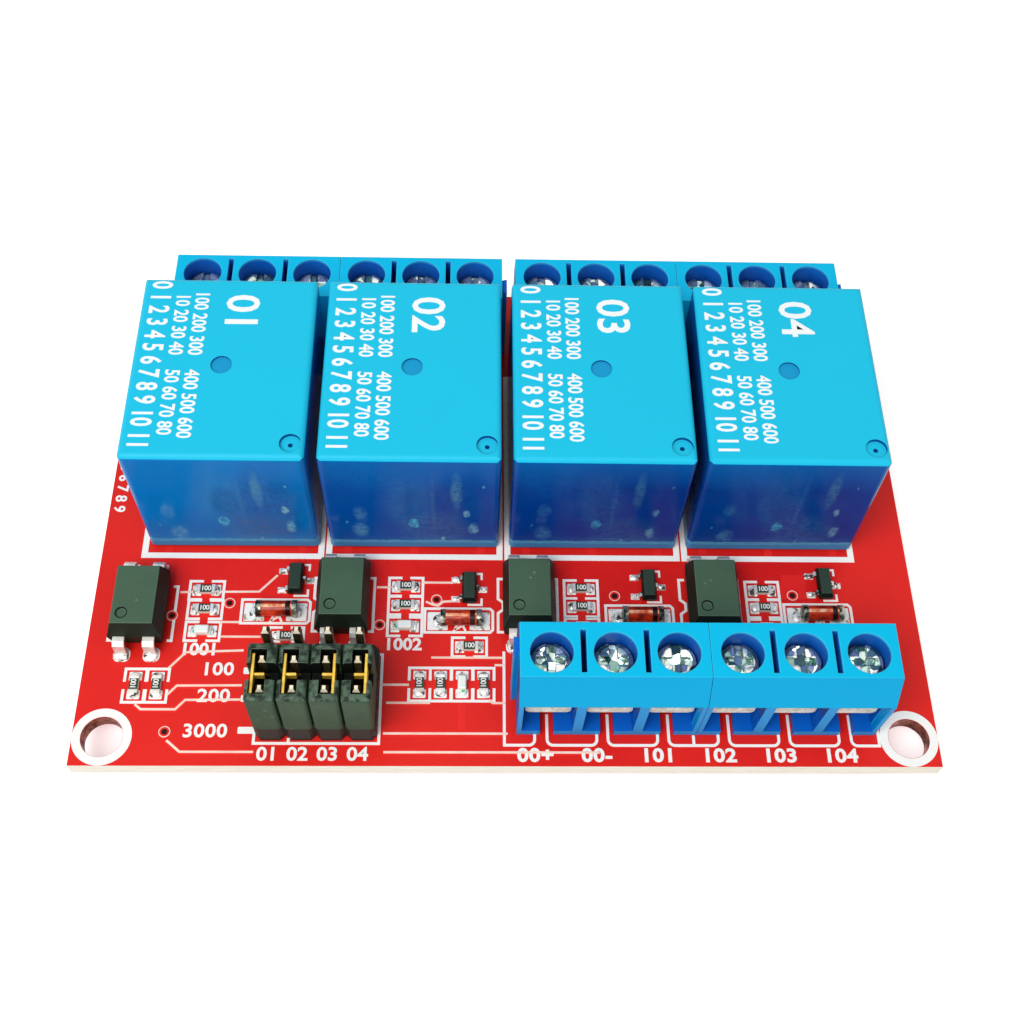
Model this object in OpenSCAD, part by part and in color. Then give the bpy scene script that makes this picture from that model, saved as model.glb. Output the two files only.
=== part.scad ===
// Four channel relay module: a drilled board with four sealed relays, screw terminals with
// rising clamps along two edges, a jumper header and the input circuit of each channel.
// Units mm. +X along the board, +Y to the relay terminals, +Z up, Z 0 at the lead tips.

/* [Board] */
// board length
board_w = 73; // [60:1:100]
// board depth
board_d = 50; // [46:1:70]
// board thickness
board_t = 1.6; // [1:0.2:2.4]
// how far the leads stand out under the board
lead_out = 2; // [1:0.1:3]
// mounting hole diameter
mount_hole_d = 3.5; // [2.5:0.1:4.5]
// mounting hole centre to the board edge
mount_inset = 2.5; // [2:0.1:5]

/* [Relays] */
// relay width
relay_w = 15.2; // [12:0.1:18]
// relay depth
relay_d = 18.8; // [15:0.1:22]
// relay top above the board
relay_h = 15; // [10:0.1:20]
// air between two relays
relay_space = 0.95; // [0.3:0.05:4]
// first relay edge to the left board edge
relay_inset_x = 4.3; // [1:0.1:8]
// relay row to the terminals behind it
relay_gap = 0.5; // [0.2:0.1:3]
// edge radius of the relay case
relay_round = 0.5; // [0.2:0.1:1.5]
// standoff feet under a relay
relay_foot_h = 0.3; // [0.1:0.1:1]

/* [Terminals] */
// terminal pitch
way_pitch = 5.08; // [4.8:0.02:6]
// terminal block height
block_h = 10; // [8:0.1:14]
// terminal block depth at the board
block_d = 7.45; // [7:0.05:10]
// wire side nose height
nose_h = 6.9; // [5:0.1:8]
// how far the nose overhangs the foot of the wire side
nose_out = 0.35; // [0:0.05:1]
// depth of the flat top
top_d = 4.75; // [4.2:0.05:6]
// slope from the nose back to the flat top
slope_d = 1.3; // [0.6:0.1:2]
// height where the rear wall leans in
rear_wall_h = 6; // [4:0.1:8]
// rear block nose to the rear board edge
rear_nose_inset = 2.3; // [1:0.1:6]
// front block nose to the front board edge
front_nose_inset = 2.45; // [1:0.1:6]
// air between the two rear terminal rows
row_gap = 1.22; // [0.6:0.02:6]
// wall between two wire bays
bay_wall = 0.82; // [0.6:0.02:1.2]
// floor under a wire bay
floor_t = 0.9; // [0.6:0.1:1.5]
// screw head diameter
head_d = 3.2; // [2.6:0.1:3.8]
// screw head thickness
head_t = 0.9; // [0.6:0.1:1.5]
// screw shank diameter
shank_d = 2.5; // [2:0.1:3]
// clamp cage length along the wire
cage_d = 4.6; // [3.5:0.1:5]
// clamp cage sheet at the sides
cage_side_t = 0.6; // [0.4:0.05:0.9]
// clamp cage sheet under the wire
cage_base_t = 0.75; // [0.5:0.05:1]
// clamp cage nut plate
cage_nut_t = 0.85; // [0.6:0.05:1]
// clamp travel from closed to open
clamp_travel = 1.8; // [1:0.1:1.8]
// contact strip thickness
contact_t = 0.7; // [0.4:0.05:0.8]

/* [Jumpers] */
// pin pitch of the jumper header
pin_pitch = 2.54; // [2:0.01:3]
// pin thickness
pin_t = 0.64; // [0.5:0.01:0.8]
// pin tips above the board
pin_h = 8.4; // [7:0.1:10]
// header base height
base_h = 2.54; // [1.5:0.01:4]
// jumper cap height
cap_h = 6; // [4:0.1:7]
// notch across the middle of a cap
cap_notch_l = 1.45; // [0.8:0.05:1.8]
// depth of that notch
cap_notch_h = 2.1; // [1:0.1:3]
// sheet of the clip in a cap
clip_t = 0.22; // [0.15:0.01:0.25]
// jumper header centre to the left board edge
header_x = 20.37; // [10:0.1:30]
// jumper header centre to the front board edge
header_y = 6.04; // [5:0.1:10]

/* [Small parts] */
// optocoupler body length between its lead rows
opto_d = 6.5; // [5:0.1:8]
// optocoupler body width
opto_w = 4.6; // [3:0.1:6]
// optocoupler height
opto_h = 3.5; // [2:0.1:5]
// small chip length
chip_l = 1.6; // [1:0.1:3.2]
// small chip width
chip_w = 0.8; // [0.5:0.05:1.6]
// diode length
diode_l = 3.6; // [2:0.1:5]
// diode diameter
diode_d = 1.5; // [1:0.1:2.5]

/* [Hidden] */
$fn = 48;
eps = 0.01;
slide_gap = 0.15;      // a clamp in its shaft
run_gap = 0.05;        // a shank in its nut plate, a clip round its pin
wire_gap = 0.1;        // a clamp round its contact
well_gap = 0.15;       // a screw head in its well
cap_gap = 0.14;        // between two caps side by side
clip_gap = 0.05;       // a clip in its cap
pin_hole_gap = 0.15;   // a header pin in its hole, on radius
hole_gap = 0.2;        // a lead in its hole, on radius
fit_gap = 0.1;         // a moulded tongue in its groove
seam = 0.04;           // between two mouldings side by side
case_color = [0.10, 0.55, 0.85];
block_color = [0.10, 0.50, 0.85];
metal_color = [0.80, 0.80, 0.82];
black_color = [0.08, 0.09, 0.09];
red_color = [0.75, 0.10, 0.10];

top_z = lead_out + board_t;
left_x = -board_w / 2;
front_y = -board_d / 2;

// terminal blocks: local x along the row, y in from the nose, z up from the board
ways = 3;
block_w = ways * way_pitch;
row_w = 2 * block_w;
row_x = (row_w + row_gap) / 2;
front_nose_y = front_y + front_nose_inset;
rear_nose_y = board_d / 2 - rear_nose_inset;
foot_y = nose_out;
heel_y = foot_y + block_d;
top_near_y = slope_d;
top_far_y = slope_d + top_d;
bay_w = way_pitch - bay_wall;
well_d = head_d + 2 * well_gap;
cage_w = shank_d + 2 * run_gap + 2 * cage_side_t;
screw_y = top_near_y + top_d * 0.45;
shaft_w = cage_w + 2 * slide_gap;
cage_y0 = screw_y - cage_d / 2;
cage_y1 = screw_y + cage_d / 2;
cage_top_z = nose_h + 0.45;
shaft_top_z = cage_top_z + wire_gap / 2;
head_z0 = cage_top_z + wire_gap;
contact_top_z = cage_top_z - cage_nut_t - clamp_travel - wire_gap;
contact_z0 = contact_top_z - contact_t;
cage_z0 = contact_z0 - wire_gap - cage_base_t;
contact_w = cage_w - 2 * cage_side_t - 2 * wire_gap;
tail_t = 0.6;
tail_y0 = cage_y1 + slide_gap + wire_gap;
tail_y1 = tail_y0 + tail_t;
tail_w = 0.9;
groove_y = top_near_y + 2.9;
tongue_w = 1.6;
tongue_t = 0.45;
tongue_top_z = block_h - 0.5;
slit_w = 0.46;
slit_l = 3.7;
slit_deep = 3;
notch_w = 1.15;
notch_l = 2.5;

// relays
relay_y = rear_nose_y - heel_y - relay_gap - relay_d / 2;
relay_x0 = left_x + relay_inset_x + relay_w / 2;
relay_pitch = relay_w + relay_space;
relay_foot_w = 1.2;
// lead places from the relay centre: common, two coil leads, two contact leads
lead_inset_x = 1.6;
lead_inset_y = 2.3;
coil_step = 2;
coil_x = relay_w / 2 - lead_inset_x;
switch_y = relay_d / 2 - lead_inset_y;
common_y = -switch_y;
coil_y = common_y + coil_step;
relay_lead_w = 0.9;
relay_lead_t = 0.5;
lead_hole_d = 2 * hole_gap + sqrt(relay_lead_w * relay_lead_w + relay_lead_t * relay_lead_t);
block_hole_d = 2 * hole_gap + sqrt(tail_w * tail_w + tail_t * tail_t);
header_hole_d = 2 * pin_hole_gap + pin_t * sqrt(2);

// jumper header
header_cx = left_x + header_x;
header_cy = front_y + header_y;
header_cols = 4;
header_rows = 3;
cap_w = pin_pitch - cap_gap;
cap_d = 2 * pin_pitch;
cap_y = -pin_pitch / 2;
cap_z = top_z + base_h;
pin_short = 0.5;
// clip in a cap: sleeves round the pins, and a strip that stands beside them
clip_w = pin_t + 2 * (run_gap + clip_t);
clip_z = 0.35;
sleeve_h = cap_h - cap_notch_h - 0.7;
strip_h = cap_h - clip_z - 0.35;
strip_l = pin_pitch + pin_t + 0.24;
strip_x = clip_w / 2;

// small parts, each at [x, y] from the front left board corner
opto_at = [[4.4, 14.05], [22, 15], [38.3, 15], [54.6, 15]];
opto_lean = 0.5;
opto_row = 2.54;
lead_reach = 1.3;
lead_foot_y = opto_d / 2 + lead_reach;
lead_w = 1;
lead_t = 0.25;
transistor_at = [[17.6, 17.2], [33.05, 16.4], [49.1, 16.75], [65, 17]];
diode_at = [[16.2, 14.1], [32.35, 13.3], [48.4, 13.7], [64.4, 13.9]];
flat_resistor_at = [
    [9.75, 16.2], [9.8, 14.3], [27.4, 16.65], [27.4, 14.8], [43.05, 16.5], [43.05, 14.7],
    [59.4, 16.45], [59.4, 14.7], [17.1, 11.7], [33.1, 10.8], [49.1, 11.4], [65.2, 11.5]
];
turned_resistor_at = [[4.6, 7.1], [6.5, 7.1], [28.85, 7.3], [30.65, 7.3], [34.35, 7.3]];
flat_led_at = [[9.8, 12.2], [27.4, 12.75], [43.05, 12.7], [59.4, 12.7]];
turned_led_at = [[32.5, 7.3]];

// ---------- shared forms ----------

module rounded_rect(w, h, r) {
    square([w - 2 * r, h], center = true);
    square([w, h - 2 * r], center = true);
    for (x = [-1, 1], y = [-1, 1])
        translate([x * (w / 2 - r), y * (h / 2 - r)]) circle(r = r);
}

// a block with every upright and top edge rounded by r, standing on z 0
module soft_block(w, d, h, r) {
    intersection() {
        linear_extrude(h) rounded_rect(w, d, r);
        translate([0, d / 2, 0]) rotate([90, 0, 0]) linear_extrude(d) top_round(w, h, r);
        translate([-w / 2, 0, 0]) rotate([90, 0, 90]) linear_extrude(w) top_round(d, h, r);
    }
}

module top_round(w, h, r) {
    translate([-w / 2, 0]) square([w, h - r]);
    translate([-w / 2 + r, 0]) square([w - 2 * r, h]);
    for (x = [-1, 1]) translate([x * (w / 2 - r), h - r]) circle(r = r);
}

// a bar along z from z0 to z1 with square section t and chamfered ends
module pin_bar(t, z0, z1, tip) {
    intersection() {
        translate([0, t / 2, 0]) rotate([90, 0, 0]) linear_extrude(t) pin_side(t, z0, z1, tip);
        translate([-t / 2, 0, 0]) rotate([90, 0, 90]) linear_extrude(t) pin_side(t, z0, z1, tip);
    }
}

module pin_side(t, z0, z1, tip) {
    h = t / 2;
    n = h * 0.45;
    polygon([[-n, z0], [n, z0], [h, z0 + tip], [h, z1 - tip],
             [n, z1], [-n, z1], [-h, z1 - tip], [-h, z0 + tip]]);
}

// a body with its waist wider than its top and foot by lean, standing on z 0
module waisted_body(w, d, h, waist, lean) {
    intersection() {
        translate([0, d / 2, 0]) rotate([90, 0, 0]) linear_extrude(d) waisted_side(w, h, waist, lean);
        translate([-w / 2, 0, 0]) rotate([90, 0, 90]) linear_extrude(w) waisted_side(d, h, waist, lean);
    }
}

module waisted_side(w, h, waist, lean) {
    polygon([[-w / 2 + lean / 2, 0], [w / 2 - lean / 2, 0], [w / 2, waist],
             [w / 2 - lean, h], [-w / 2 + lean, h], [-w / 2, waist]]);
}

// ---------- placement ----------

module at_relay(i) translate([relay_x0 + i * relay_pitch, relay_y, top_z]) children();

module each_relay_lead() {
    for (i = [0:3]) at_relay(i) for (p = relay_leads()) translate([p[0], p[1], 0]) children();
}

function relay_leads() = [
    [0, common_y],
    [-coil_x, coil_y], [coil_x, coil_y],
    [-coil_x, switch_y], [coil_x, switch_y]
];

// row 0 is in front, rows 1 and 2 are the left and right halves of the rear edge
module at_row(row) {
    if (row == 0) translate([row_x, front_nose_y, top_z]) children();
    else translate([(row == 1 ? -1 : 1) * row_x, rear_nose_y, top_z]) rotate([0, 0, 180]) children();
}

module at_way(row, way) at_row(row) translate([(way - ways + 0.5) * way_pitch, 0, 0]) children();

// rear terminals count from the left, though their rows are turned round
module at_rear(n) at_way(n < 2 * ways ? 1 : 2, 2 * ways - 1 - n % (2 * ways)) children();

module each_way() {
    for (row = [0:2], way = [0:2 * ways - 1]) at_way(row, way) children();
}

module at_pin(col, line) {
    translate([header_cx + (col - (header_cols - 1) / 2) * pin_pitch,
               header_cy + (line - (header_rows - 1) / 2) * pin_pitch, 0]) children();
}

module each_pin() {
    for (col = [0:header_cols - 1], line = [0:header_rows - 1]) at_pin(col, line) children();
}

module at_part(p, turn = 0) translate([left_x + p[0], front_y + p[1], top_z]) rotate([0, 0, turn]) children();

// ---------- board ----------

// a through hole from the board's top face at z 0
module drill(d) {
    translate([0, 0, -board_t - 1]) cylinder(d = d, h = board_t + 2);
}

module circuit_board() {
    color(red_color) difference() {
        translate([left_x, front_y, lead_out]) cube([board_w, board_d, board_t]);
        for (x = [-1, 1], y = [-1, 1])
            translate([x * (board_w / 2 - mount_inset), y * (board_d / 2 - mount_inset), top_z])
                drill(mount_hole_d);
        each_relay_lead() drill(lead_hole_d);
        each_way() translate([0, (tail_y0 + tail_y1) / 2, 0]) drill(block_hole_d);
        each_pin() translate([0, 0, top_z]) drill(header_hole_d);
    }
}

module solder_fillet(r, hole_w, hole_d, h = 1.2) {
    difference() {
        rotate_extrude() polygon([[0, 0], [r, 0], [r * 0.94, -h * 0.12], [r * 0.72, -h * 0.4],
                                  [r * 0.56, -h * 0.72], [r * 0.5, -h], [0, -h]]);
        cube([hole_w, hole_d, 3 * h], center = true);
    }
}

module solder_joints() {
    color(metal_color) {
        each_relay_lead() translate([0, 0, -board_t]) solder_fillet(1.25, relay_lead_w, relay_lead_t);
        each_way() translate([0, (tail_y0 + tail_y1) / 2, -board_t]) solder_fillet(1.2, tail_w, tail_t);
        each_pin() translate([0, 0, lead_out]) solder_fillet(0.85, pin_t, pin_t, 0.8);
    }
}

// ---------- relays ----------

module relay(i) {
    dimple_d = 1.8;
    vent_x = relay_w / 2 - 1.2;
    vent_y = -relay_d / 2 + 1.53;
    rim_h = 0.9;
    color(case_color) at_relay(i) {
        difference() {
            translate([0, 0, relay_foot_h]) soft_block(relay_w, relay_d, relay_h - relay_foot_h, relay_round);
            // ejector mark, vent and its recess, and the seam between case and base plate
            translate([0, 0, relay_h - 0.2]) cylinder(d = dimple_d, h = 1);
            translate([vent_x, vent_y, relay_h - 0.35]) cylinder(d = dimple_d, h = 1);
            translate([vent_x, vent_y, relay_h - 0.9]) cylinder(d = 0.4, h = 1, $fn = 24);
            translate([0, 0, relay_foot_h + rim_h]) linear_extrude(0.12) difference() {
                square([relay_w + 1, relay_d + 1], center = true);
                rounded_rect(relay_w - 0.16, relay_d - 0.16, relay_round);
            }
        }
        for (x = [-1, 1], y = [-1, 1])
            translate([x * (relay_w / 2 - relay_foot_w), y * (relay_d / 2 - relay_foot_w), 0])
                cylinder(d = relay_foot_w, h = relay_foot_h + eps);
    }
}

module relay_pins() {
    color(metal_color) each_relay_lead()
        translate([-relay_lead_w / 2, -relay_lead_t / 2, -top_z])
            cube([relay_lead_w, relay_lead_t, top_z + relay_foot_h]);
}

// ---------- screw terminals ----------

module block_side() {
    polygon([[foot_y, 0], [heel_y, 0], [heel_y, rear_wall_h], [top_far_y, block_h],
             [top_near_y, block_h], [0, nose_h]]);
}

module tongue_plan(gap) {
    reach = tongue_t + gap;
    half = tongue_w / 2 + gap;
    translate([0, groove_y])
        polygon([[0.3, 0.25 - half], [-reach, -half], [-reach, half], [0.3, half - 0.25]]);
}

module way_hollow() {
    // wire bay, clamp shaft, screw well, room for the contact and its tail
    translate([-bay_w / 2, -1, floor_t]) cube([bay_w, cage_y0 - slide_gap + 1 + eps, nose_h - floor_t]);
    translate([-shaft_w / 2, cage_y0 - slide_gap, floor_t])
        cube([shaft_w, cage_d + 2 * slide_gap, shaft_top_z - floor_t]);
    translate([0, screw_y, shaft_top_z - eps]) cylinder(d = well_d, h = block_h);
    translate([-contact_w / 2 - fit_gap, cage_y1, floor_t])
        cube([contact_w + 2 * fit_gap, tail_y1 - cage_y1 + fit_gap, contact_top_z + fit_gap - floor_t]);
    translate([-tail_w / 2 - fit_gap, tail_y0 - fit_gap, -1])
        cube([tail_w + 2 * fit_gap, tail_t + 2 * fit_gap, floor_t + 1 + eps]);
    translate([-notch_w / 2, -1, -1]) cube([notch_w, 1 + foot_y + notch_l, floor_t + 1 + eps]);
}

// one three way moulding; local x runs from 0 to block_w
module block_housing() {
    difference() {
        union() {
            rotate([90, 0, 90]) linear_extrude(block_w - seam) block_side();
            linear_extrude(tongue_top_z) tongue_plan(0);
        }
        for (way = [0:ways - 1]) translate([(way + 0.5) * way_pitch, 0, 0]) way_hollow();
        for (way = [1:ways - 1])
            translate([way * way_pitch - slit_w / 2, top_near_y + 0.4, block_h - slit_deep])
                cube([slit_w, slit_l, slit_deep + 1]);
        translate([block_w, 0, -1]) linear_extrude(tongue_top_z + 1 + fit_gap) tongue_plan(fit_gap);
    }
}

module terminal_housings(row) {
    color(block_color) at_row(row) for (b = [-1, 0]) translate([b * block_w, 0, 0]) block_housing();
}

module contact_side() {
    bend = contact_t + 0.2;
    difference() {
        translate([cage_y0 + 0.3, contact_z0]) square([tail_y1 - cage_y0 - 0.3, contact_t]);
        translate([tail_y1 - bend, contact_top_z - bend]) square(bend + eps);
    }
    translate([tail_y0, floor_t + 0.2]) square([tail_t, contact_top_z - bend - floor_t - 0.2]);
    intersection() {
        translate([tail_y1 - bend, contact_top_z - bend]) difference() {
            circle(r = bend);
            circle(r = bend - tail_t);
        }
        translate([tail_y1 - bend, contact_top_z - bend]) square(bend);
    }
}

module terminal_contacts() {
    color(metal_color) each_way() {
        rotate([90, 0, 90]) translate([0, 0, -contact_w / 2]) linear_extrude(contact_w) contact_side();
        translate([-tail_w / 2, tail_y0, -top_z]) cube([tail_w, tail_t, top_z + floor_t + 0.2 + eps]);
    }
}

module clamp_screw() {
    slot_w = 0.7;
    slot_deep = 0.5;
    tip_z = contact_top_z + run_gap;
    head_z1 = head_z0 + head_t;
    color(metal_color) translate([0, screw_y, 0]) difference() {
        rotate_extrude() polygon([[0, tip_z], [shank_d / 2 - 0.3, tip_z], [shank_d / 2, tip_z + 0.3],
            [shank_d / 2, head_z0], [head_d / 2, head_z0], [head_d / 2, head_z1 - 0.2],
            [head_d / 2 - 0.35, head_z1], [0, head_z1]]);
        // a slot right across, and a shorter one that makes a cross of it
        for (cut = [[slot_w, 2 * head_d], [0.72 * head_d, slot_w]])
            translate([0, 0, head_z1]) cube([cut[0], cut[1], 2 * slot_deep], center = true);
    }
}

module clamp_cage() {
    h = cage_top_z - cage_z0;
    inner_h = h - cage_base_t - cage_nut_t;
    color(metal_color) difference() {
        translate([0, cage_y1, cage_z0 + h / 2]) rotate([90, 0, 0]) linear_extrude(cage_d) difference() {
            rounded_rect(cage_w, h, 0.5);
            translate([0, (cage_base_t - cage_nut_t) / 2])
                rounded_rect(cage_w - 2 * cage_side_t, inner_h, 0.2);
        }
        translate([0, screw_y, cage_top_z - cage_nut_t - 0.5]) cylinder(d = shank_d + 2 * run_gap, h = 3);
    }
}

// ---------- jumper header ----------

module header_base() {
    cut = 0.45;
    h = pin_pitch / 2;
    color(black_color) translate([0, 0, top_z]) linear_extrude(base_h) difference() {
        each_pin() polygon([[-h, -h + cut], [-h + cut, -h], [h - cut, -h], [h, -h + cut],
                            [h, h - cut], [h - cut, h], [-h + cut, h], [-h, h - cut]]);
        each_pin() square(pin_t, center = true);
    }
}

module header_pins() {
    color([0.85, 0.70, 0.35]) each_pin() pin_bar(pin_t, pin_short, top_z + pin_h, 0.35);
}

// cap c bridges the front and middle pins of column c; the first two are the other way round
module jumper(c) {
    at_pin(c, 1) translate([0, cap_y, cap_z]) {
        if (c < 2) mirror([1, 0, 0]) jumper_cap();
        else jumper_cap();
    }
}

module jumper_cap() {
    color(black_color) cap_moulding();
    color([0.85, 0.65, 0.25]) cap_clip();
}

// two towers on a low bridge, hollow below for the sleeves and open above the pins and strip
module cap_moulding() {
    well_w = clip_w + 2 * clip_gap;
    well_l = pin_pitch + well_w;
    window_x = -pin_t / 2 - run_gap - clip_gap;
    window_w = strip_x + clip_t + clip_gap - window_x;
    difference() {
        soft_block(cap_w, cap_d, cap_h, 0.35);
        translate([0, 0, cap_h]) cube([cap_w + 1, cap_notch_l, 2 * cap_notch_h], center = true);
        translate([-well_w / 2, -well_l / 2, -1]) cube([well_w, well_l, clip_z + sleeve_h + clip_gap + 1]);
        translate([window_x, -well_l / 2, 0]) cube([window_w, well_l, cap_h + 1]);
    }
}

// a sleeve round each pin, joined by an upright strip with a tongue at its middle
module cap_clip() {
    tongue_reach = 0.25;
    translate([0, 0, clip_z]) {
        linear_extrude(sleeve_h) for (s = [-1, 1]) translate([0, s * pin_pitch / 2]) difference() {
            translate([-clip_w / 2, -clip_w / 2]) square([clip_w / 2 + strip_x + clip_t, clip_w]);
            square(pin_t + 2 * run_gap, center = true);
        }
        translate([strip_x, -strip_l / 2, 0]) cube([clip_t, strip_l, strip_h]);
        translate([-tongue_reach, -clip_t / 2, strip_h - 0.9])
            cube([strip_x + tongue_reach + eps, clip_t, 0.7]);
    }
}

// ---------- input circuit ----------

module each_opto() {
    for (p = opto_at) at_part(p) children();
}

module optocouplers() {
    color(black_color) each_opto() translate([0, 0, 0.1]) difference() {
        waisted_body(opto_w, opto_d, opto_h - 0.1, 1.7, opto_lean);
        translate([-opto_w / 2 + opto_lean + 0.87, -opto_d / 2 + opto_lean + 1, opto_h - 0.25])
            cylinder(d = 0.9, h = 1);
    }
}

// gull wing strip in the y, z plane from the body side down to a flat foot
module gull_side(y0, y1, z_top, t) {
    polygon([[y0 - 0.1, z_top], [y0 + 0.5, z_top], [y0 + 0.85, z_top - 0.3], [y0 + 0.95, t],
             [y1, t], [y1, 0], [y0 + 0.72, 0], [y0 + 0.6, z_top - 0.45],
             [y0 + 0.42, z_top - t], [y0 - 0.1, z_top - t]]);
}

module optocoupler_leads() {
    color(metal_color) each_opto() for (turn = [0, 180], x = [-1, 1])
        rotate([0, 0, turn]) translate([x * opto_row / 2 - lead_w / 2, 0, 0])
            difference() {
                rotate([90, 0, 90]) linear_extrude(lead_w) gull_side(opto_d / 2, lead_foot_y, 1.9, lead_t);
                translate([-1, -1, -1]) cube([lead_w + 2, opto_d / 2 + 1, 5]);
            }
}

// body 1.3 by 2.9, two leads to the left, one to the right
module transistors() {
    color(black_color) for (p = transistor_at) at_part(p) {
        translate([0, 0, 0.08]) waisted_body(1.3, 2.9, 1, 0.5, 0.18);
        for (lead = [[90, -0.95], [90, 0.95], [-90, 0]])
            translate([0, lead[1], 0]) rotate([0, 0, lead[0]])
                translate([-0.2, 0, 0]) rotate([90, 0, 90]) linear_extrude(0.4)
                    polygon([[0.5, 0.6], [0.85, 0.6], [0.98, 0.14], [1.25, 0.14],
                             [1.25, 0], [0.88, 0], [0.75, 0.46], [0.5, 0.46]]);
    }
}

// glass bead with a metal sleeve at each end
module diodes() {
    sleeve_l = 0.45;
    color([0.80, 0.30, 0.12]) for (p = diode_at)
        at_part(p) translate([0, 0, diode_d / 2]) rotate([0, 90, 0]) {
            cylinder(d = diode_d - 0.1, h = diode_l - 0.4, center = true);
            for (s = [-1, 1]) translate([0, 0, s * (diode_l - sleeve_l) / 2])
                cylinder(d = diode_d, h = sleeve_l, center = true);
        }
}

module chip(h, cap_l) {
    translate([-chip_l / 2 + 0.1, -chip_w / 2 + 0.02, 0.02]) cube([chip_l - 0.2, chip_w - 0.04, h - 0.04]);
    for (s = [-1, 1]) translate([s * (chip_l - cap_l) / 2, 0, h / 2]) cube([cap_l, chip_w, h], center = true);
}

module chip_resistors() {
    color([0.15, 0.15, 0.15]) {
        for (p = flat_resistor_at) at_part(p) chip(0.45, 0.3);
        for (p = turned_resistor_at) at_part(p, 90) chip(0.45, 0.3);
    }
}

module led() {
    chip(0.3, 0.35);
    translate([0, 0, 0.25]) soft_block(chip_l - 0.35, chip_w - 0.06, 0.45, 0.15);
}

module indicator_leds() {
    color([0.90, 0.90, 0.80]) {
        for (p = flat_led_at) at_part(p) led();
        for (p = turned_led_at) at_part(p, 90) led();
    }
}

// ---------- nodes ----------

circuit_board();
relay(0);  // relay_1
relay(1);  // relay_2
relay(2);  // relay_3
relay(3);  // relay_4
relay_pins();
terminal_housings(0);  // front_terminal_housings
terminal_housings(1);  // rear_left_terminal_housings
terminal_housings(2);  // rear_right_terminal_housings
terminal_contacts();
for (n = [0:2 * ways - 1]) {
    at_way(0, n) clamp_screw();
    at_way(0, n) clamp_cage();
}
for (n = [0:4 * ways - 1]) {
    at_rear(n) clamp_screw();
    at_rear(n) clamp_cage();
}
header_base();
header_pins();
jumper(0);  // jumper_1
jumper(1);  // jumper_2
jumper(2);  // jumper_3
jumper(3);  // jumper_4
optocouplers();
optocoupler_leads();
transistors();
diodes();
chip_resistors();
indicator_leds();
solder_joints();
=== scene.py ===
"""Finish of the four channel relay module: board print, copper, solder and the surface of every part."""
import itertools
import math
import random

import bmesh
import bpy
from mathutils import Euler, Matrix, Vector


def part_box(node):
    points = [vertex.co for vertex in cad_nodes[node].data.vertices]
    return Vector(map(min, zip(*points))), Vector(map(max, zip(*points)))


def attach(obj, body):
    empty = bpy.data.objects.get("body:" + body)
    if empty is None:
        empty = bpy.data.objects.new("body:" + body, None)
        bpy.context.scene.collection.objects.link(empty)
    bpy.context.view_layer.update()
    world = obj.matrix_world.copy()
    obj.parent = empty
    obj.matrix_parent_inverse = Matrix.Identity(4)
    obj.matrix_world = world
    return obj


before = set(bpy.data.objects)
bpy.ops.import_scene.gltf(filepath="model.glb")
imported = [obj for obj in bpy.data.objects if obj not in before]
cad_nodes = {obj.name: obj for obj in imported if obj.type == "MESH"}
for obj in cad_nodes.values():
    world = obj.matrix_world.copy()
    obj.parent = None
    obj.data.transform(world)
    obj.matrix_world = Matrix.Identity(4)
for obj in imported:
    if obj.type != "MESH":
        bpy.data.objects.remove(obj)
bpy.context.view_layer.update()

# ---------- places ----------

MM = 0.001
BODY = "module"
board_low, board_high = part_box("circuit_board")
BOARD_W = (board_high.x - board_low.x) / MM
BOARD_D = (board_high.y - board_low.y) / MM
BOARD_T = (board_high.z - board_low.z) / MM
# board millimetres: x from the left edge, y from the front edge, z up from the top face
TO_FRAME = Matrix.Translation((board_low.x, board_low.y, board_high.z)) @ Matrix.Scale(MM, 4)
TO_BOARD = TO_FRAME.inverted()
# vertices of a CAD mesh that agree to a ten thousandth of a millimetre are one
STEPS_PER_METRE = 1e7


def solids(node):
    """The separate solids of a CAD node as (low, high) in board millimetres, and the one of each face."""
    mesh = cad_nodes[node].data
    places = {}
    corner = [places.setdefault(tuple(round(c * STEPS_PER_METRE) for c in v.co), len(places))
              for v in mesh.vertices]
    group = list(range(len(places)))

    def first(a):
        while group[a] != a:
            group[a] = group[group[a]]
            a = group[a]
        return a

    for face in mesh.polygons:
        a = first(corner[face.vertices[0]])
        for v in face.vertices[1:]:
            group[first(corner[v])] = a
    boxes, of_face = {}, []
    for face in mesh.polygons:
        n = first(corner[face.vertices[0]])
        low, high = boxes.setdefault(n, (Vector((math.inf,) * 3), Vector((-math.inf,) * 3)))
        for v in face.vertices:
            p = TO_BOARD @ mesh.vertices[v].co
            low[:] = map(min, low, p)
            high[:] = map(max, high, p)
        of_face.append(boxes[n])
    return list(boxes.values()), of_face


def middle(box):
    return (box[0] + box[1]) / 2


def upright(box):
    """True for a part whose longer side runs from front to back."""
    return box[1].y - box[0].y > box[1].x - box[0].x


def inset(at, box):
    """How far a place lies inside the nearest side of a box, seen from above."""
    return min(at.x - box[0].x, box[1].x - at.x, at.y - box[0].y, box[1].y - at.y)


# ---------- mesh helpers, all in board millimetres ----------


def new_piece(name, bm, *materials, body=BODY, slot=None, smooth=False):
    """Closes a bmesh into a piece that rides on a CAD body."""
    bmesh.ops.transform(bm, matrix=TO_FRAME, verts=bm.verts)
    bmesh.ops.recalc_face_normals(bm, faces=bm.faces)
    mesh = bpy.data.meshes.new(name)
    bm.to_mesh(mesh)
    bm.free()
    for material in materials:
        mesh.materials.append(material)
    if smooth:
        mesh.shade_smooth()
    piece = bpy.data.objects.new(name, mesh)
    bpy.context.scene.collection.objects.link(piece)
    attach(piece, body)


def placed(centre, turn):
    return Matrix.Translation(centre) @ Matrix.Rotation(math.radians(turn), 4, "Z")


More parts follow.
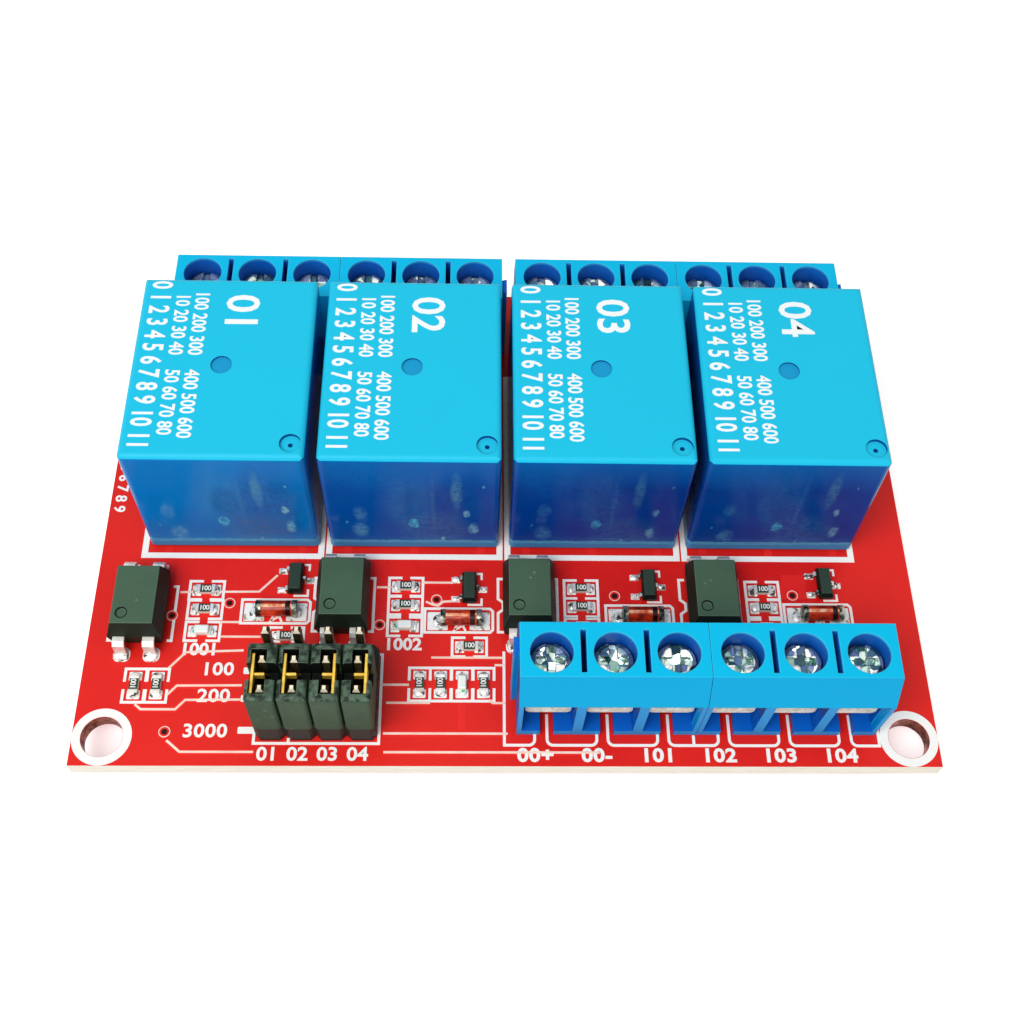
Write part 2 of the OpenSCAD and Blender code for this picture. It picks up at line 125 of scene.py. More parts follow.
def slab(bm, centre, size, corner=0.0, segments=2, turn=0.0):
    """A plate whose low face lies at centre.z, with rounded upright edges."""
    made = bmesh.ops.create_cube(bm, size=1)["verts"]
    bmesh.ops.scale(bm, vec=size, verts=made)
    bmesh.ops.translate(bm, vec=(0, 0, size[2] / 2), verts=made)
    faces = {f for v in made for f in v.link_faces}
    if corner:
        edges = {e for v in made for e in v.link_edges}
        standing = [e for e in edges if abs(e.verts[0].co.z - e.verts[1].co.z) > size[2] / 2]
        out = bmesh.ops.bevel(bm, geom=standing, offset=corner, affect="EDGES", segments=segments,
                              profile=0.5, material=-1)
        faces = {f for f in faces | set(out["faces"]) if f.is_valid}
    bmesh.ops.transform(bm, matrix=placed(centre, turn), verts=list({v for f in faces for v in f.verts}))


def ribbon(bm, points, width, z, height, closed=False):
    """A flat line along points, drawn out one stretch at a time, with mitred corners."""
    path = [Vector(p).to_2d() for p in points]
    count = len(path)

    def side(i):
        before = path[i] - path[i - 1] if closed or i else path[1] - path[0]
        after = path[(i + 1) % count] - path[i] if closed or i < count - 1 else before
        before.normalize()
        after.normalize()
        across = Vector((-before.y - after.y, before.x + after.x)).normalized()
        # a mitre longer than this would stick out as a spike
        shortest = 0.35
        return across * (width / 2) / max(shortest, across.dot(Vector((-before.y, before.x))))

    def pair(i):
        return [(*(path[i] + s * side(i)), z) for s in (-1, 1)]

    ends = [bm.verts.new(p) for p in pair(0)]
    edge = bm.edges.new(ends)
    faces = []
    for i in range(1, count):
        out = bmesh.ops.extrude_edge_only(bm, edges=[edge])["geom"]
        edge = next(g for g in out if isinstance(g, bmesh.types.BMEdge))
        faces += [g for g in out if isinstance(g, bmesh.types.BMFace)]
        for vert, place in zip(edge.verts, pair(i)):
            vert.co = place
    if closed:
        faces.append(bm.faces.new((edge.verts[0], edge.verts[1], ends[1], ends[0])))
    raise_faces(bm, faces, height)


def raise_faces(bm, faces, height):
    out = bmesh.ops.extrude_face_region(bm, geom=faces)["geom"]
    top = [g for g in out if isinstance(g, bmesh.types.BMVert)]
    bmesh.ops.translate(bm, vec=(0, 0, height), verts=top)


def ring(bm, centre, outer, inner, height, segments=48):
    """A flat washer standing on centre.z."""
    verts = bmesh.ops.create_circle(bm, cap_ends=True, radius=outer, segments=segments,
                                    matrix=Matrix.Translation(centre))["verts"]
    face = verts[0].link_faces[0]
    out = bmesh.ops.inset_individual(bm, faces=[face], thickness=outer - inner, use_even_offset=True)
    bmesh.ops.delete(bm, geom=[face], context="FACES_ONLY")
    raise_faces(bm, [f for f in out["faces"] if f.is_valid], height)


def disc(bm, centre, radius, height, segments=24):
    """A flat plate standing on centre.z."""
    cylinder(bm, Matrix.Translation(Vector(centre) + Vector((0, 0, height / 2))), radius, height, segments)


def cylinder(bm, place, radius, height, segments):
    bmesh.ops.create_cone(bm, cap_ends=True, segments=segments, radius1=radius, radius2=radius, depth=height,
                          matrix=place)


def dome(bm, centre, size, turn=0.0, segments=16):
    """A drop of solder: the upper half of an egg, flat below."""
    verts = bmesh.ops.create_uvsphere(bm, u_segments=segments, v_segments=segments // 2, radius=1)["verts"]
    geom = {f for v in verts for f in v.link_faces} | {e for v in verts for e in v.link_edges} | set(verts)
    cut = bmesh.ops.bisect_plane(bm, geom=list(geom), plane_co=(0, 0, 0), plane_no=(0, 0, 1),
                                 clear_inner=True, dist=1e-5)["geom_cut"]
    rim = [g for g in cut if isinstance(g, bmesh.types.BMEdge)]
    kept = {v for v in verts if v.is_valid} | {v for e in rim for v in e.verts}
    bmesh.ops.contextual_create(bm, geom=rim)
    shape = Matrix.Diagonal((size[0] / 2, size[1] / 2, size[2], 1))
    bmesh.ops.transform(bm, matrix=placed(centre, turn) @ shape, verts=list(kept))


# height of a numeral in the built-in letters, as a share of their size
NUMERAL = 0.70


def digits(bm, text, centre, height, turn=0.0, weight=0.0, thick=0.03, spacing=1.0, width=1.0):
    """Plain numbers as a raised print; height is that of one numeral, weight fattens its strokes."""
    curve = bpy.data.curves.new("digits", "FONT")
    curve.body = text
    curve.align_x = "CENTER"
    curve.align_y = "CENTER"
    curve.size = height / NUMERAL
    curve.space_character = spacing
    curve.offset = weight
    curve.extrude = thick / 2
    curve.resolution_u = 3
    holder = bpy.data.objects.new("digits", curve)
    bpy.context.scene.collection.objects.link(holder)
    graph = bpy.context.evaluated_depsgraph_get()
    graph.update()
    mesh = bpy.data.meshes.new_from_object(holder.evaluated_get(graph))
    lifted = Vector(centre) + Vector((0, 0, thick / 2))
    mesh.transform(placed(lifted, turn) @ Matrix.Diagonal((width, 1, 1, 1)))
    bm.from_mesh(mesh)
    bpy.data.objects.remove(holder)
    bpy.data.curves.remove(curve)
    bpy.data.meshes.remove(mesh)


# ---------- shader helpers ----------


def tint(red, green, blue):
    """A colour written in display values from 0 to 255."""
    return tuple((c / 255 / 12.92 if c <= 10 else ((c / 255 + 0.055) / 1.055) ** 2.4)
                 for c in (red, green, blue)) + (1,)


def shader_node(tree, kind, inputs=None, **settings):
    made = tree.nodes.new("ShaderNode" + kind)
    for key, value in settings.items():
        setattr(made, key, value)
    fill(tree, made, inputs or {})
    return made


def fill(tree, made, values):
    """Sets each input of a node to a number or a colour, or connects it to another node's output."""
    for key, value in values.items():
        if isinstance(value, bpy.types.NodeSocket):
            tree.links.new(value, made.inputs[key])
        else:
            made.inputs[key].default_value = value


def calc(tree, operation, first, second=0.0, **settings):
    return shader_node(tree, "Math", {0: first, 1: second}, operation=operation, **settings).outputs[0]


def vector_calc(tree, operation, *values, output="Vector"):
    return shader_node(tree, "VectorMath", dict(enumerate(values)), operation=operation).outputs[output]


def axes(tree, vector):
    """The X, Y and Z of a vector."""
    return shader_node(tree, "SeparateXYZ", {"Vector": vector}).outputs


def mix(tree, share, first, second):
    """The first colour, gone over into the second by share."""
    return shader_node(tree, "MixRGB", {"Fac": share, "Color1": first, "Color2": second}).outputs[0]


def fit(tree, value, start, end, to_start=0.0, to_end=1.0, **settings):
    """Stretches start..end to to_start..to_end and holds the result between these two."""
    return shader_node(tree, "MapRange", {"Value": value, "From Min": start, "From Max": end,
                                          "To Min": to_start, "To Max": to_end}, **settings).outputs[0]


def noise(tree, place, scale, detail=2.0, roughness=0.5):
    return shader_node(tree, "TexNoise", {"Vector": place, "Scale": scale, "Detail": detail,
                                          "Roughness": roughness}).outputs


def soft_corners(tree, radius):
    """The surface's direction, with sharp corners rounded off."""
    return shader_node(tree, "Bevel", {"Radius": radius}, samples=4).outputs[0]


def bump(tree, height, strength, distance, normal):
    return shader_node(tree, "Bump", {"Strength": strength, "Distance": distance, "Height": height,
                                      "Normal": normal}).outputs[0]


def effect(name, inputs, outputs):
    """Turns the function below it into a shared node group, fed by what that function returns.

    An input is written as its kind or, for a number, as its usual value.
    """
    def build(draw):
        tree = bpy.data.node_groups.new(name, "ShaderNodeTree")
        for label, given in inputs.items():
            kind = given if isinstance(given, str) else "Float"
            socket = tree.interface.new_socket(name=label, in_out="INPUT", socket_type="NodeSocket" + kind)
            if kind == "Float":
                socket.default_value = given
        for label, kind in outputs.items():
            tree.interface.new_socket(name=label, in_out="OUTPUT", socket_type="NodeSocket" + kind)
        sources = draw(tree, tree.nodes.new("NodeGroupInput").outputs)
        for source, socket in zip(sources, tree.nodes.new("NodeGroupOutput").inputs):
            tree.links.new(source, socket)
        return tree
    return build


def use(tree, group, **inputs):
    """The outputs of a shared effect; an underscore stands for the space in an input's name."""
    made = tree.nodes.new("ShaderNodeGroup")
    made.node_tree = group
    fill(tree, made, {key.replace("_", " "): value for key, value in inputs.items()})
    return made.outputs


def material(name, **shader_inputs):
    """A new material, its tree, its Principled shader and the place on the object."""
    made = bpy.data.materials.new(name)
    made.use_nodes = True
    tree = made.node_tree
    shader = tree.nodes["Principled BSDF"]
    for key, value in shader_inputs.items():
        shader.inputs[key.replace("_", " ")].default_value = value
    place = shader_node(tree, "TexCoord").outputs["Object"]
    return made, tree, shader, place


# ---------- shared effects; the scale of a noise is in waves per metre ----------


@effect("colour drift", {"Vector": "Vector", "Scale": 200.0, "Detail": 3.0, "Spread": 0.5, "Base": "Color",
                         "Drift": "Color"}, {"Color": "Color"})
def COLOUR_DRIFT(tree, given):
    """Slow change between two colours over the surface."""
    slow = noise(tree, given["Vector"], given["Scale"], given["Detail"], 0.55)["Fac"]
    wide = calc(tree, "MULTIPLY", calc(tree, "SUBTRACT", slow, 0.5), given["Spread"])
    share = calc(tree, "ADD", wide, 0.5, use_clamp=True)
    return [mix(tree, share, given["Base"], given["Drift"])]


@effect("moulded skin", {"Vector": "Vector", "Grain Scale": 6000.0, "Grain": 0.1, "Wave Scale": 300.0,
                         "Wave": 0.05, "Corner": 0.1 * MM}, {"Normal": "Vector"})
def SKIN(tree, given):
    """Slow waves and a fine grain over a surface whose sharp corners look slightly rounded."""
    waves = noise(tree, given["Vector"], given["Wave Scale"])["Fac"]
    waved = bump(tree, waves, given["Wave"], 0.4 * MM, soft_corners(tree, given["Corner"]))
    grain = noise(tree, given["Vector"], given["Grain Scale"], 3.0)["Fac"]
    return [bump(tree, grain, given["Grain"], 0.05 * MM, waved)]


@effect("corner mask", {"Radius": 0.2 * MM, "Gain": 3.0}, {"Mask": "Float"})
def CORNERS(tree, given):
    """Mask of the sharp outer and inner corners, for painted highlights along the edges."""
    flat = shader_node(tree, "NewGeometry").outputs["Normal"]
    alike = vector_calc(tree, "DOT_PRODUCT", soft_corners(tree, given["Radius"]), flat, output="Value")
    turned = calc(tree, "SUBTRACT", 1.0, alike)
    return [calc(tree, "MULTIPLY", turned, given["Gain"], use_clamp=True)]


@effect("dust specks", {"Vector": "Vector", "Scale": 900.0, "Amount": 0.1}, {"Mask": "Float"})
def SPECKS(tree, given):
    """Dust specks scattered over some patches of the surface."""
    cells = shader_node(tree, "TexVoronoi", {"Vector": given["Vector"], "Scale": given["Scale"]})
    speck = calc(tree, "LESS_THAN", cells.outputs["Distance"], given["Amount"])
    patch = calc(tree, "GREATER_THAN", noise(tree, given["Vector"], 160.0)["Fac"], 0.56)
    return [calc(tree, "MULTIPLY", speck, patch)]


@effect("metal mottle", {"Vector": "Vector", "Scale": 1500.0, "Bright": "Color", "Dull": "Color",
                         "Smooth": 0.2, "Rough": 0.45, "Dent": 0.3, "From": 0.35, "To": 0.65},
        {"Color": "Color", "Roughness": "Float", "Normal": "Vector"})
def MOTTLE(tree, given):
    """Uneven shine of tinned, soldered and plated metal; where the two colours lie far apart, the bright one
    is a painted highlight and the dull one a painted reflection of dark surroundings.
    """
    spots = noise(tree, given["Vector"], given["Scale"], 4.0, 0.6)["Fac"]
    share = fit(tree, spots, given["From"], given["To"])
    dents = bump(tree, spots, given["Dent"], 0.1 * MM, soft_corners(tree, 0.08 * MM))
    return [mix(tree, share, given["Bright"], given["Dull"]),
            fit(tree, share, 0.0, 1.0, given["Smooth"], given["Rough"]), dents]


@effect("soft patch", {"Across": 0.0, "Up": 0.0, "Middle Across": 0.0, "Middle Up": 0.0, "Width": 1.0,
                       "Height": 1.0, "Softness": 1.0, "Share": 1.0}, {"Mask": "Float"})
def SOFT_PATCH(tree, given):
    """Mask of one round patch with a soft edge, in a flat pattern."""
    squares = []
    for value, size in (("Across", "Width"), ("Up", "Height")):
        off = calc(tree, "SUBTRACT", given[value], given[f"Middle {value}"])
        part = calc(tree, "DIVIDE", off, given[size])
        squares.append(calc(tree, "MULTIPLY", part, part))
    inside = calc(tree, "SUBTRACT", 1.0, calc(tree, "ADD", *squares))
    return [fit(tree, inside, 0.0, given["Softness"], 0.0, given["Share"], interpolation_type="SMOOTHSTEP")]


def drifting(tree, place, scale, spread, base, other, **more):
    """A colour that drifts towards another."""
    return use(tree, COLOUR_DRIFT, Vector=place, Scale=scale, Spread=spread, Base=tint(*base),
               Drift=tint(*other), **more)["Color"]


def dusty(tree, place, colour, scale, amount, share, dust):
    """A colour with faint specks of dust on it."""
    specks = use(tree, SPECKS, Vector=place, Scale=scale, Amount=amount)["Mask"]
    return mix(tree, calc(tree, "MULTIPLY", specks, share), colour, tint(*dust))


def banded(tree, colour, height, bands):
    """A colour with others over it, each growing from nothing to its share between two heights."""
    for start, end, share, paint in bands:
        colour = mix(tree, fit(tree, height, start, end, 0.0, share), colour, tint(*paint))
    return colour


def coat(tree, shader, place, colour, corner, **skin):
    """Gives a shader its colour and its skin; corner is in millimetres."""
    tree.links.new(colour, shader.inputs["Base Color"])
    normal = use(tree, SKIN, Vector=place, Corner=corner * MM, **skin)["Normal"]
    tree.links.new(normal, shader.inputs["Normal"])


def plastic(name, base, drift, pale, roughness=0.4, shine=0.2, grain=0.15, wave=0.05, specks=0.06,
            edge_highlight=1.5, corner=0.12, spread=0.5, scale=220.0):
    """Moulded plastic: drifting colour, painted highlights on its corners, dust specks and a fine grain."""
    made, tree, shader, place = material(name, Roughness=roughness, Specular_IOR_Level=shine)
    # the corners go over into the pale colour: a painted highlight along every edge
    edge = use(tree, CORNERS, Radius=corner * MM, Gain=edge_highlight)["Mask"]
    wear_and_edge_highlight = mix(tree, edge, drifting(tree, place, scale, spread, base, drift), tint(*pale))
    dull = dusty(tree, place, wear_and_edge_highlight, 1100.0, specks, 0.35, pale)
    coat(tree, shader, place, dull, corner, Grain=grain, Wave=wave)
    return made


def metal(name, bright, dull, smooth=0.2, rough=0.45, dent=0.3, scale=1500.0, metallic=1.0,
          limits=(0.35, 0.65)):
    """Metal that mottles from bright and smooth to dull and rough between two limits of its noise."""
    made, tree, shader, place = material(name, Metallic=metallic)
    out = use(tree, MOTTLE, Vector=place, Scale=scale, Bright=tint(*bright), Dull=tint(*dull),
              Smooth=smooth, Rough=rough, Dent=dent, From=limits[0], To=limits[1])
    for source, label in (("Color", "Base Color"), ("Roughness", "Roughness"), ("Normal", "Normal")):
        tree.links.new(out[source], shader.inputs[label])
    return made


def lacquer(name, base, drift, scale=60.0):
    """Solder mask: a glossy red film over copper or bare laminate."""
    made, tree, shader, place = material(name, Roughness=0.3, Specular_IOR_Level=0.2)
    slow = drifting(tree, place, scale, 2.2, base, drift)
    dull = dusty(tree, place, slow, 1400.0, 0.05, 0.4, (250, 120, 110))
    coat(tree, shader, place, dull, 0.02, Grain=0.05, Wave=0.15, Wave_Scale=900.0)
    return made


def ink(name, colour, wear_and_edge_highlight, roughness=0.55):
    """Screen print, slightly uneven."""
    made, tree, shader, place = material(name, Roughness=roughness, Specular_IOR_Level=0.3)
    coat(tree, shader, place, drifting(tree, place, 1200.0, 1.6, colour, wear_and_edge_highlight), 0.01, Grain=0.3, Wave=0.1)
    return made


# ---------- finishes ----------


def make_laminate():
    """Sawn edge of the glass laminate: cream, with the layers of cloth showing."""
    made, tree, shader, place = material("laminate edge", Roughness=0.75, Specular_IOR_Level=0.2)
    layers = shader_node(tree, "Mapping", {"Vector": place, "Scale": (1, 1, 14)}).outputs[0]
    tone = drifting(tree, layers, 500.0, 2.0, (255, 252, 242), (236, 226, 204), Detail=4.0)
    coat(tree, shader, place, tone, 0.05, Grain_Scale=2500.0, Grain=0.6, Wave=0.1)
    return made


# what shows dimly through a relay's front: its middle across (-1 to 1) and up (0 to 1), half width and
# half height in the same measure, softness, strength and colour
WORKS = (
    (0.5, 0.45, 0.55, 0.5, 1.0, 0.4, (26, 34, 108)),
    (0.3, 0.2, 0.5, 0.26, 1.0, 0.5, (76, 128, 172)),
    (-0.01, 0.57, 0.34, 0.4, 0.9, 0.34, (52, 132, 186)),
    (-0.02, 0.54, 0.2, 0.2, 0.8, 0.4, (10, 70, 134)),
    (0.2, 0.55, 0.035, 0.4, 1.0, 0.3, (70, 140, 184)),
    (0.46, 0.68, 0.08, 0.24, 1.0, 0.5, (100, 172, 190)),
    (-0.55, 0.84, 0.5, 0.26, 1.0, 0.35, (30, 120, 196)),
    (-0.63, 0.2, 0.12, 0.1, 1.0, 0.6, (110, 182, 210)),
    (-0.62, 0.45, 0.1, 0.09, 1.0, 0.45, (90, 164, 204)),
    (0.66, 0.24, 0.07, 0.08, 1.0, 0.9, (130, 196, 218)),
    (0.64, 0.44, 0.045, 0.05, 1.0, 0.9, (150, 214, 230)),
    (0.78, 0.72, 0.02, 0.02, 1.0, 0.9, (120, 196, 224)),
    (-0.8, 0.3, 0.02, 0.02, 1.0, 0.8, (100, 180, 214)),
    (0.3, 0.12, 0.03, 0.03, 1.0, 0.7, (140, 210, 228)),
    (-0.01, 0.3, 0.07, 0.06, 0.5, 1.0, (80, 196, 228)),
    (-0.015, 0.305, 0.035, 0.025, 0.6, 0.8, (16, 92, 160)),
)
# start, end, share and colour: paler to the lid, a painted highlight along the top of the foot, the foot's
# band below it, its dark edge
RELAY_BANDS = ((0.7, 0.97, 0.4, (20, 130, 206)), (0.11, 0.1, 0.75, (96, 180, 214)),
               (0.085, 0.07, 0.6, (34, 112, 176)), (0.02, 0.0, 0.7, (8, 50, 110)))
# the same in millimetres below the top: the shade down a screw well, its lit rim, the wire bay
WELL_BANDS = ((0.4, 2.4, 0.85, (2, 38, 124)), (0.35, 0.1, 0.8, (70, 190, 240)),
              (5.0, 7.0, 0.8, (8, 104, 206)))


def make_relay_side(n, base, shown):
    """Polished see-through side of a relay case, with the works dimly inside; shown is their strength."""
    made, tree, shader, place = material(f"relay {n} side", Roughness=0.16, Specular_IOR_Level=0.1,
                                         Specular_Tint=(0.1, 0.45, 0.9, 1))
    low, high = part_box(f"relay_{n}")
    colour = drifting(tree, place, 180.0, 2.2, base, (base[0], base[1] + 14, base[2] + 10), Detail=5.0)
    warp = vector_calc(tree, "SUBTRACT", noise(tree, place, 1500.0, 3.0)["Color"], (0.5,) * 3)
    moved = axes(tree, vector_calc(tree, "MULTIPLY_ADD", warp, (0.4 * MM,) * 3, place))
    across = fit(tree, moved["X"], low.x, high.x, -1.0, 1.0)
    up = fit(tree, moved["Z"], low.z, high.z)
    facing = axes(tree, shader_node(tree, "NewGeometry").outputs["Normal"])["Y"]
    front = calc(tree, "GREATER_THAN", calc(tree, "ABSOLUTE", facing), 0.7)
    haze = fit(tree, noise(tree, place, 2600.0, 5.0, 0.7)["Fac"], 0.38, 0.58, 0.2)
    clear = calc(tree, "MULTIPLY", front, haze)
    shake = random.Random(20 + n)
    for x, z, width, height, softness, share, paint in WORKS:
        mask = use(tree, SOFT_PATCH, Across=across, Up=up, Middle_Across=x + shake.uniform(-0.05, 0.05),
                   Middle_Up=z + shake.uniform(-0.03, 0.03), Width=width, Height=height,
                   Softness=softness, Share=share * shown)["Mask"]
        colour = mix(tree, calc(tree, "MULTIPLY", mask, clear), colour, tint(*paint))
    colour = banded(tree, colour, up, RELAY_BANDS)
    coat(tree, shader, place, colour, 0.15, Grain=0.02, Wave=0.12, Wave_Scale=260.0)
    return made


def make_block_deep():
    """Inside of a terminal moulding: lit at the mouth of a well, darker with depth."""
    made, tree, shader, place = material("terminal inner plastic", Roughness=0.45, Specular_IOR_Level=0.1)
    colour = drifting(tree, place, 300.0, 1.6, (6, 100, 200), (12, 116, 212))
    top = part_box("front_terminal_housings")[1].z
    bands = [(top - start * MM, top - end * MM, share, paint) for start, end, share, paint in WELL_BANDS]
    colour = banded(tree, colour, axes(tree, place)["Z"], bands)
    coat(tree, shader, place, colour, 0.15, Grain=0.15, Wave=0.2, Wave_Scale=700.0)
    return made


def make_screw_steel(name, bright, dull, line):
    """Plated screw steel in small facets that each lean their own way, each taking a tone between a near
    white and a teal one, with dark lines between them: painted reflections of the white surroundings and the
    blue moulding.
    """
    made, tree, shader, place = material(name, Metallic=0.8, Roughness=0.2)
    moved = vector_calc(tree, "MULTIPLY_ADD", noise(tree, place, 900.0)["Color"], (0.6 * MM,) * 3, place)
    cells = {"Vector": moved, "Scale": 1250.0}
    own = shader_node(tree, "TexVoronoi", cells).outputs["Color"]
    edge = shader_node(tree, "TexVoronoi", cells, feature="DISTANCE_TO_EDGE").outputs["Distance"]
    tone = mix(tree, fit(tree, axes(tree, own)["X"], 0.55, 0.9), tint(*bright), tint(*dull))
    lined = mix(tree, fit(tree, edge, 0.1, 0.0, 0.0, 0.5), tone, tint(*line))
    tree.links.new(lined, shader.inputs["Base Color"])
    lean = vector_calc(tree, "SUBTRACT", own, (0.5,) * 3)
    facet = vector_calc(tree, "MULTIPLY_ADD", lean, (0.7,) * 3, soft_corners(tree, 0.15 * MM))
    tree.links.new(vector_calc(tree, "NORMALIZE", facet), shader.inputs["Normal"])
    return made


MASK = lacquer("solder mask", (238, 40, 32), (220, 30, 26))
MASK_COPPER = lacquer("solder mask on copper", (246, 46, 40), (236, 38, 36), scale=90.0)
TRACK_SHEEN = lacquer("track edge sheen", (255, 242, 224), (254, 206, 186), scale=500.0)
LAMINATE = make_laminate()
PLATED_HOLE = metal("plated hole wall", (150, 78, 54), (78, 32, 24), 0.35, 0.6)
PRINT = ink("white print", (255, 255, 251), (250, 249, 242))
RELAY_TOP = plastic("relay top", (21, 198, 232), (26, 192, 229), (96, 216, 240), roughness=0.45, grain=0.2,
                    edge_highlight=0.8)
# The moulding marks are painted darker than the lid, and their walls much darker: painted shade in the
# recesses.
RELAY_DIMPLE = plastic("relay moulding mark", (14, 150, 204), (18, 158, 210), (70, 200, 232), roughness=0.45)
RELAY_DIMPLE_WALL = plastic("relay mark wall", (4, 84, 150), (6, 90, 156), (20, 130, 190), roughness=0.5,
                            shine=0.1)
# The sides are painted darker from relay 1 to relay 3, and relay 4 about as dark as relay 3: painted light
# falling off towards the right.
RELAY_SIDES = [make_relay_side(n, base, shown) for n, base, shown in (
    (1, (6, 114, 196), 1.0), (2, (3, 78, 168), 0.9), (3, (2, 60, 150), 0.6), (4, (2, 62, 148), 0.6))]
RELAY_PRINT = ink("relay print", (252, 252, 250), (240, 248, 250))
# One moulding in three materials by how its faces turn: the top lightest, the slopes darker, the outer walls
# darkest, as painted light and shade.
BLOCK_TOP = plastic("terminal top plastic", (4, 194, 236), (6, 184, 232), (90, 224, 250), roughness=0.42,
                    edge_highlight=3.0, corner=0.16, shine=0.12)
BLOCK_WALL = plastic("terminal wall plastic", (4, 146, 218), (8, 152, 222), (70, 196, 240), roughness=0.42,
                     shine=0.1)
BLOCK_SLOPE = plastic("terminal slope plastic", (6, 170, 220), (4, 164, 218), (70, 202, 242), roughness=0.45,
                      shine=0.1)
BLOCK_DEEP = make_block_deep()
STEEL = make_screw_steel("screw steel", (255, 255, 250), (176, 218, 196), (60, 106, 96))
# The slot steel is the screw steel painted darker: painted shade down the driver slot.
SLOT_STEEL = make_screw_steel("screw slot steel", (220, 242, 232), (106, 160, 146), (26, 60, 58))
CLAMP = metal("clamp steel", (248, 254, 242), (198, 202, 186), 0.3, 0.6, metallic=0.15)
TIN = metal("tinned copper", (250, 250, 246), (214, 212, 202), 0.3, 0.6, scale=1100.0, metallic=0.7)
# Pads, solder, leads and diode caps mottle between near white and dark: painted highlights and painted
# reflections over the metal's own uneven tin.
PADS = metal("tinned pads", (255, 255, 250), (128, 120, 88), 0.4, 0.6, scale=2000.0, metallic=0.05,
             limits=(0.54, 0.64))
SOLDER = metal("solder", (255, 255, 250), (60, 56, 44), 0.3, 0.6, dent=0.8, scale=2200.0, metallic=0.25,
               limits=(0.5, 0.6))
LEAD_TIN = metal("transistor leads", (250, 250, 240), (56, 54, 46), 0.25, 0.6, scale=1800.0, metallic=0.5,
                 limits=(0.46, 0.56))
DIODE_CAP = metal("diode end cap", (190, 190, 170), (30, 34, 26), 0.2, 0.4, scale=1300.0, metallic=0.7,
                  limits=(0.4, 0.56))
# One plating in two materials: the pin sides painted dark olive as painted shade, the tips pale cream as a
# painted highlight.
PIN_SIDE = metal("header pin side", (104, 92, 58), (44, 38, 24), 0.3, 0.5, metallic=0.6)
PIN_TIP = metal("header pin tip", (255, 252, 232), (232, 218, 176), 0.4, 0.6, metallic=0.1)
CLIP = metal("brass clip", (255, 222, 104), (232, 184, 60), 0.3, 0.5, metallic=0.6)
CLIP_DEEP = metal("brass clip in shade", (96, 80, 38), (40, 34, 18), 0.4, 0.6, metallic=0.5)
# The cap sides are painted lighter and the tops darker, as painted light and shade on one plastic; their pale
# specks and edges are painted highlights, and the inner walls are painted near black as painted shade.
JUMPER = plastic("jumper side plastic", (52, 74, 56), (64, 86, 66), (110, 134, 112), roughness=0.55,
                 shine=0.1, grain=0.6, wave=0.4, specks=0.16, edge_highlight=0.8, spread=2.4)
JUMPER_TOP = plastic("jumper top plastic", (20, 34, 26), (84, 106, 88), (150, 170, 150), grain=0.8, wave=0.6,
                     specks=0.1, edge_highlight=1.6, corner=0.16, spread=5.0, scale=1500.0)
JUMPER_DEEP = plastic("jumper inner plastic", (10, 14, 11), (16, 22, 18), (50, 60, 52), roughness=0.6,
                      shine=0.1)
HEADER = plastic("header plastic", (20, 28, 24), (30, 38, 32), (70, 80, 70), roughness=0.5, grain=0.3)
# One moulding in two materials: the top painted a lighter green as a painted reflection of the light above,
# the sides darker as painted shade.
PACKAGE_TOP = plastic("package top", (64, 90, 70), (74, 102, 80), (140, 166, 142), roughness=0.5, grain=0.6,
                      specks=0.14, edge_highlight=1.6, corner=0.2, spread=1.6)
PACKAGE_SIDE = plastic("package side", (20, 30, 22), (30, 42, 32), (96, 118, 98), roughness=0.5, grain=0.4,
                       edge_highlight=1.4, shine=0.12)
PACKAGE_MARK = plastic("package mark", (12, 22, 16), (16, 26, 20), (30, 44, 36), roughness=0.6, shine=0.1)
# One resin in two materials: the top painted lighter, the sides darker, as painted light and shade.
TRANSISTOR = plastic("transistor resin", (40, 58, 48), (50, 68, 56), (110, 130, 114), roughness=0.5,
                     grain=0.4, specks=0.12)
TRANSISTOR_SIDE = plastic("transistor side", (16, 24, 20), (26, 34, 28), (80, 96, 84), roughness=0.5,
                          shine=0.1)
CHIP_TOP = plastic("resistor glaze", (30, 56, 36), (40, 66, 44), (80, 104, 80), roughness=0.3, shine=0.4)
CHIP_BODY = plastic("resistor ceramic", (240, 238, 226), (226, 222, 204), (250, 248, 240), roughness=0.6)
LED_LENS = plastic("lamp lens", (255, 255, 252), (238, 252, 236), (255, 255, 255), shine=0.3, specks=0.0)
LED_END = metal("lamp end", (255, 255, 250), (196, 210, 190), 0.4, 0.6, metallic=0.1)
LED_MARK = ink("lamp mark", (70, 190, 140), (110, 210, 170), roughness=0.4)
DIODE_GLASS = plastic("diode glass", (226, 62, 18), (116, 16, 6), (255, 150, 90), roughness=0.12, shine=0.25,
                      grain=0.02, wave=0.4, spread=3.0, scale=1100.0)
# a pale band painted along the top of the glass: a painted highlight
DIODE_HIGHLIGHT = plastic("diode glass painted highlight", (255, 206, 164), (226, 84, 34), (255, 240, 226), roughness=0.12,
                       shine=0.25, spread=4.0, scale=1500.0)
DIODE_BAND = plastic("diode band", (58, 16, 8), (22, 10, 8), (150, 60, 30), roughness=0.2, spread=3.0,
                     scale=1500.0)
HOLE_DARK = plastic("hole shadow", (50, 12, 10), (34, 8, 8), (80, 26, 20), roughness=0.7)


# ---------- finish of the CAD parts ----------


def dress(node, materials, rule=None):
    """Gives a CAD node its materials; rule picks one for a face from its middle, direction and solid."""
    mesh = cad_nodes[node].data
    mesh.materials.clear()
    for made in materials:
        mesh.materials.append(made)
    if rule is None:
        for face in mesh.polygons:
            face.material_index = 0
        return
    for face, box in zip(mesh.polygons, solids(node)[1]):
        face.material_index = rule(TO_BOARD @ face.center, face.normal, box)


# Each rule gives a face its place in the list of materials handed to dress(), and its first line names
# the list in order. Lengths are in millimetres, depths are measured down from the part's top.


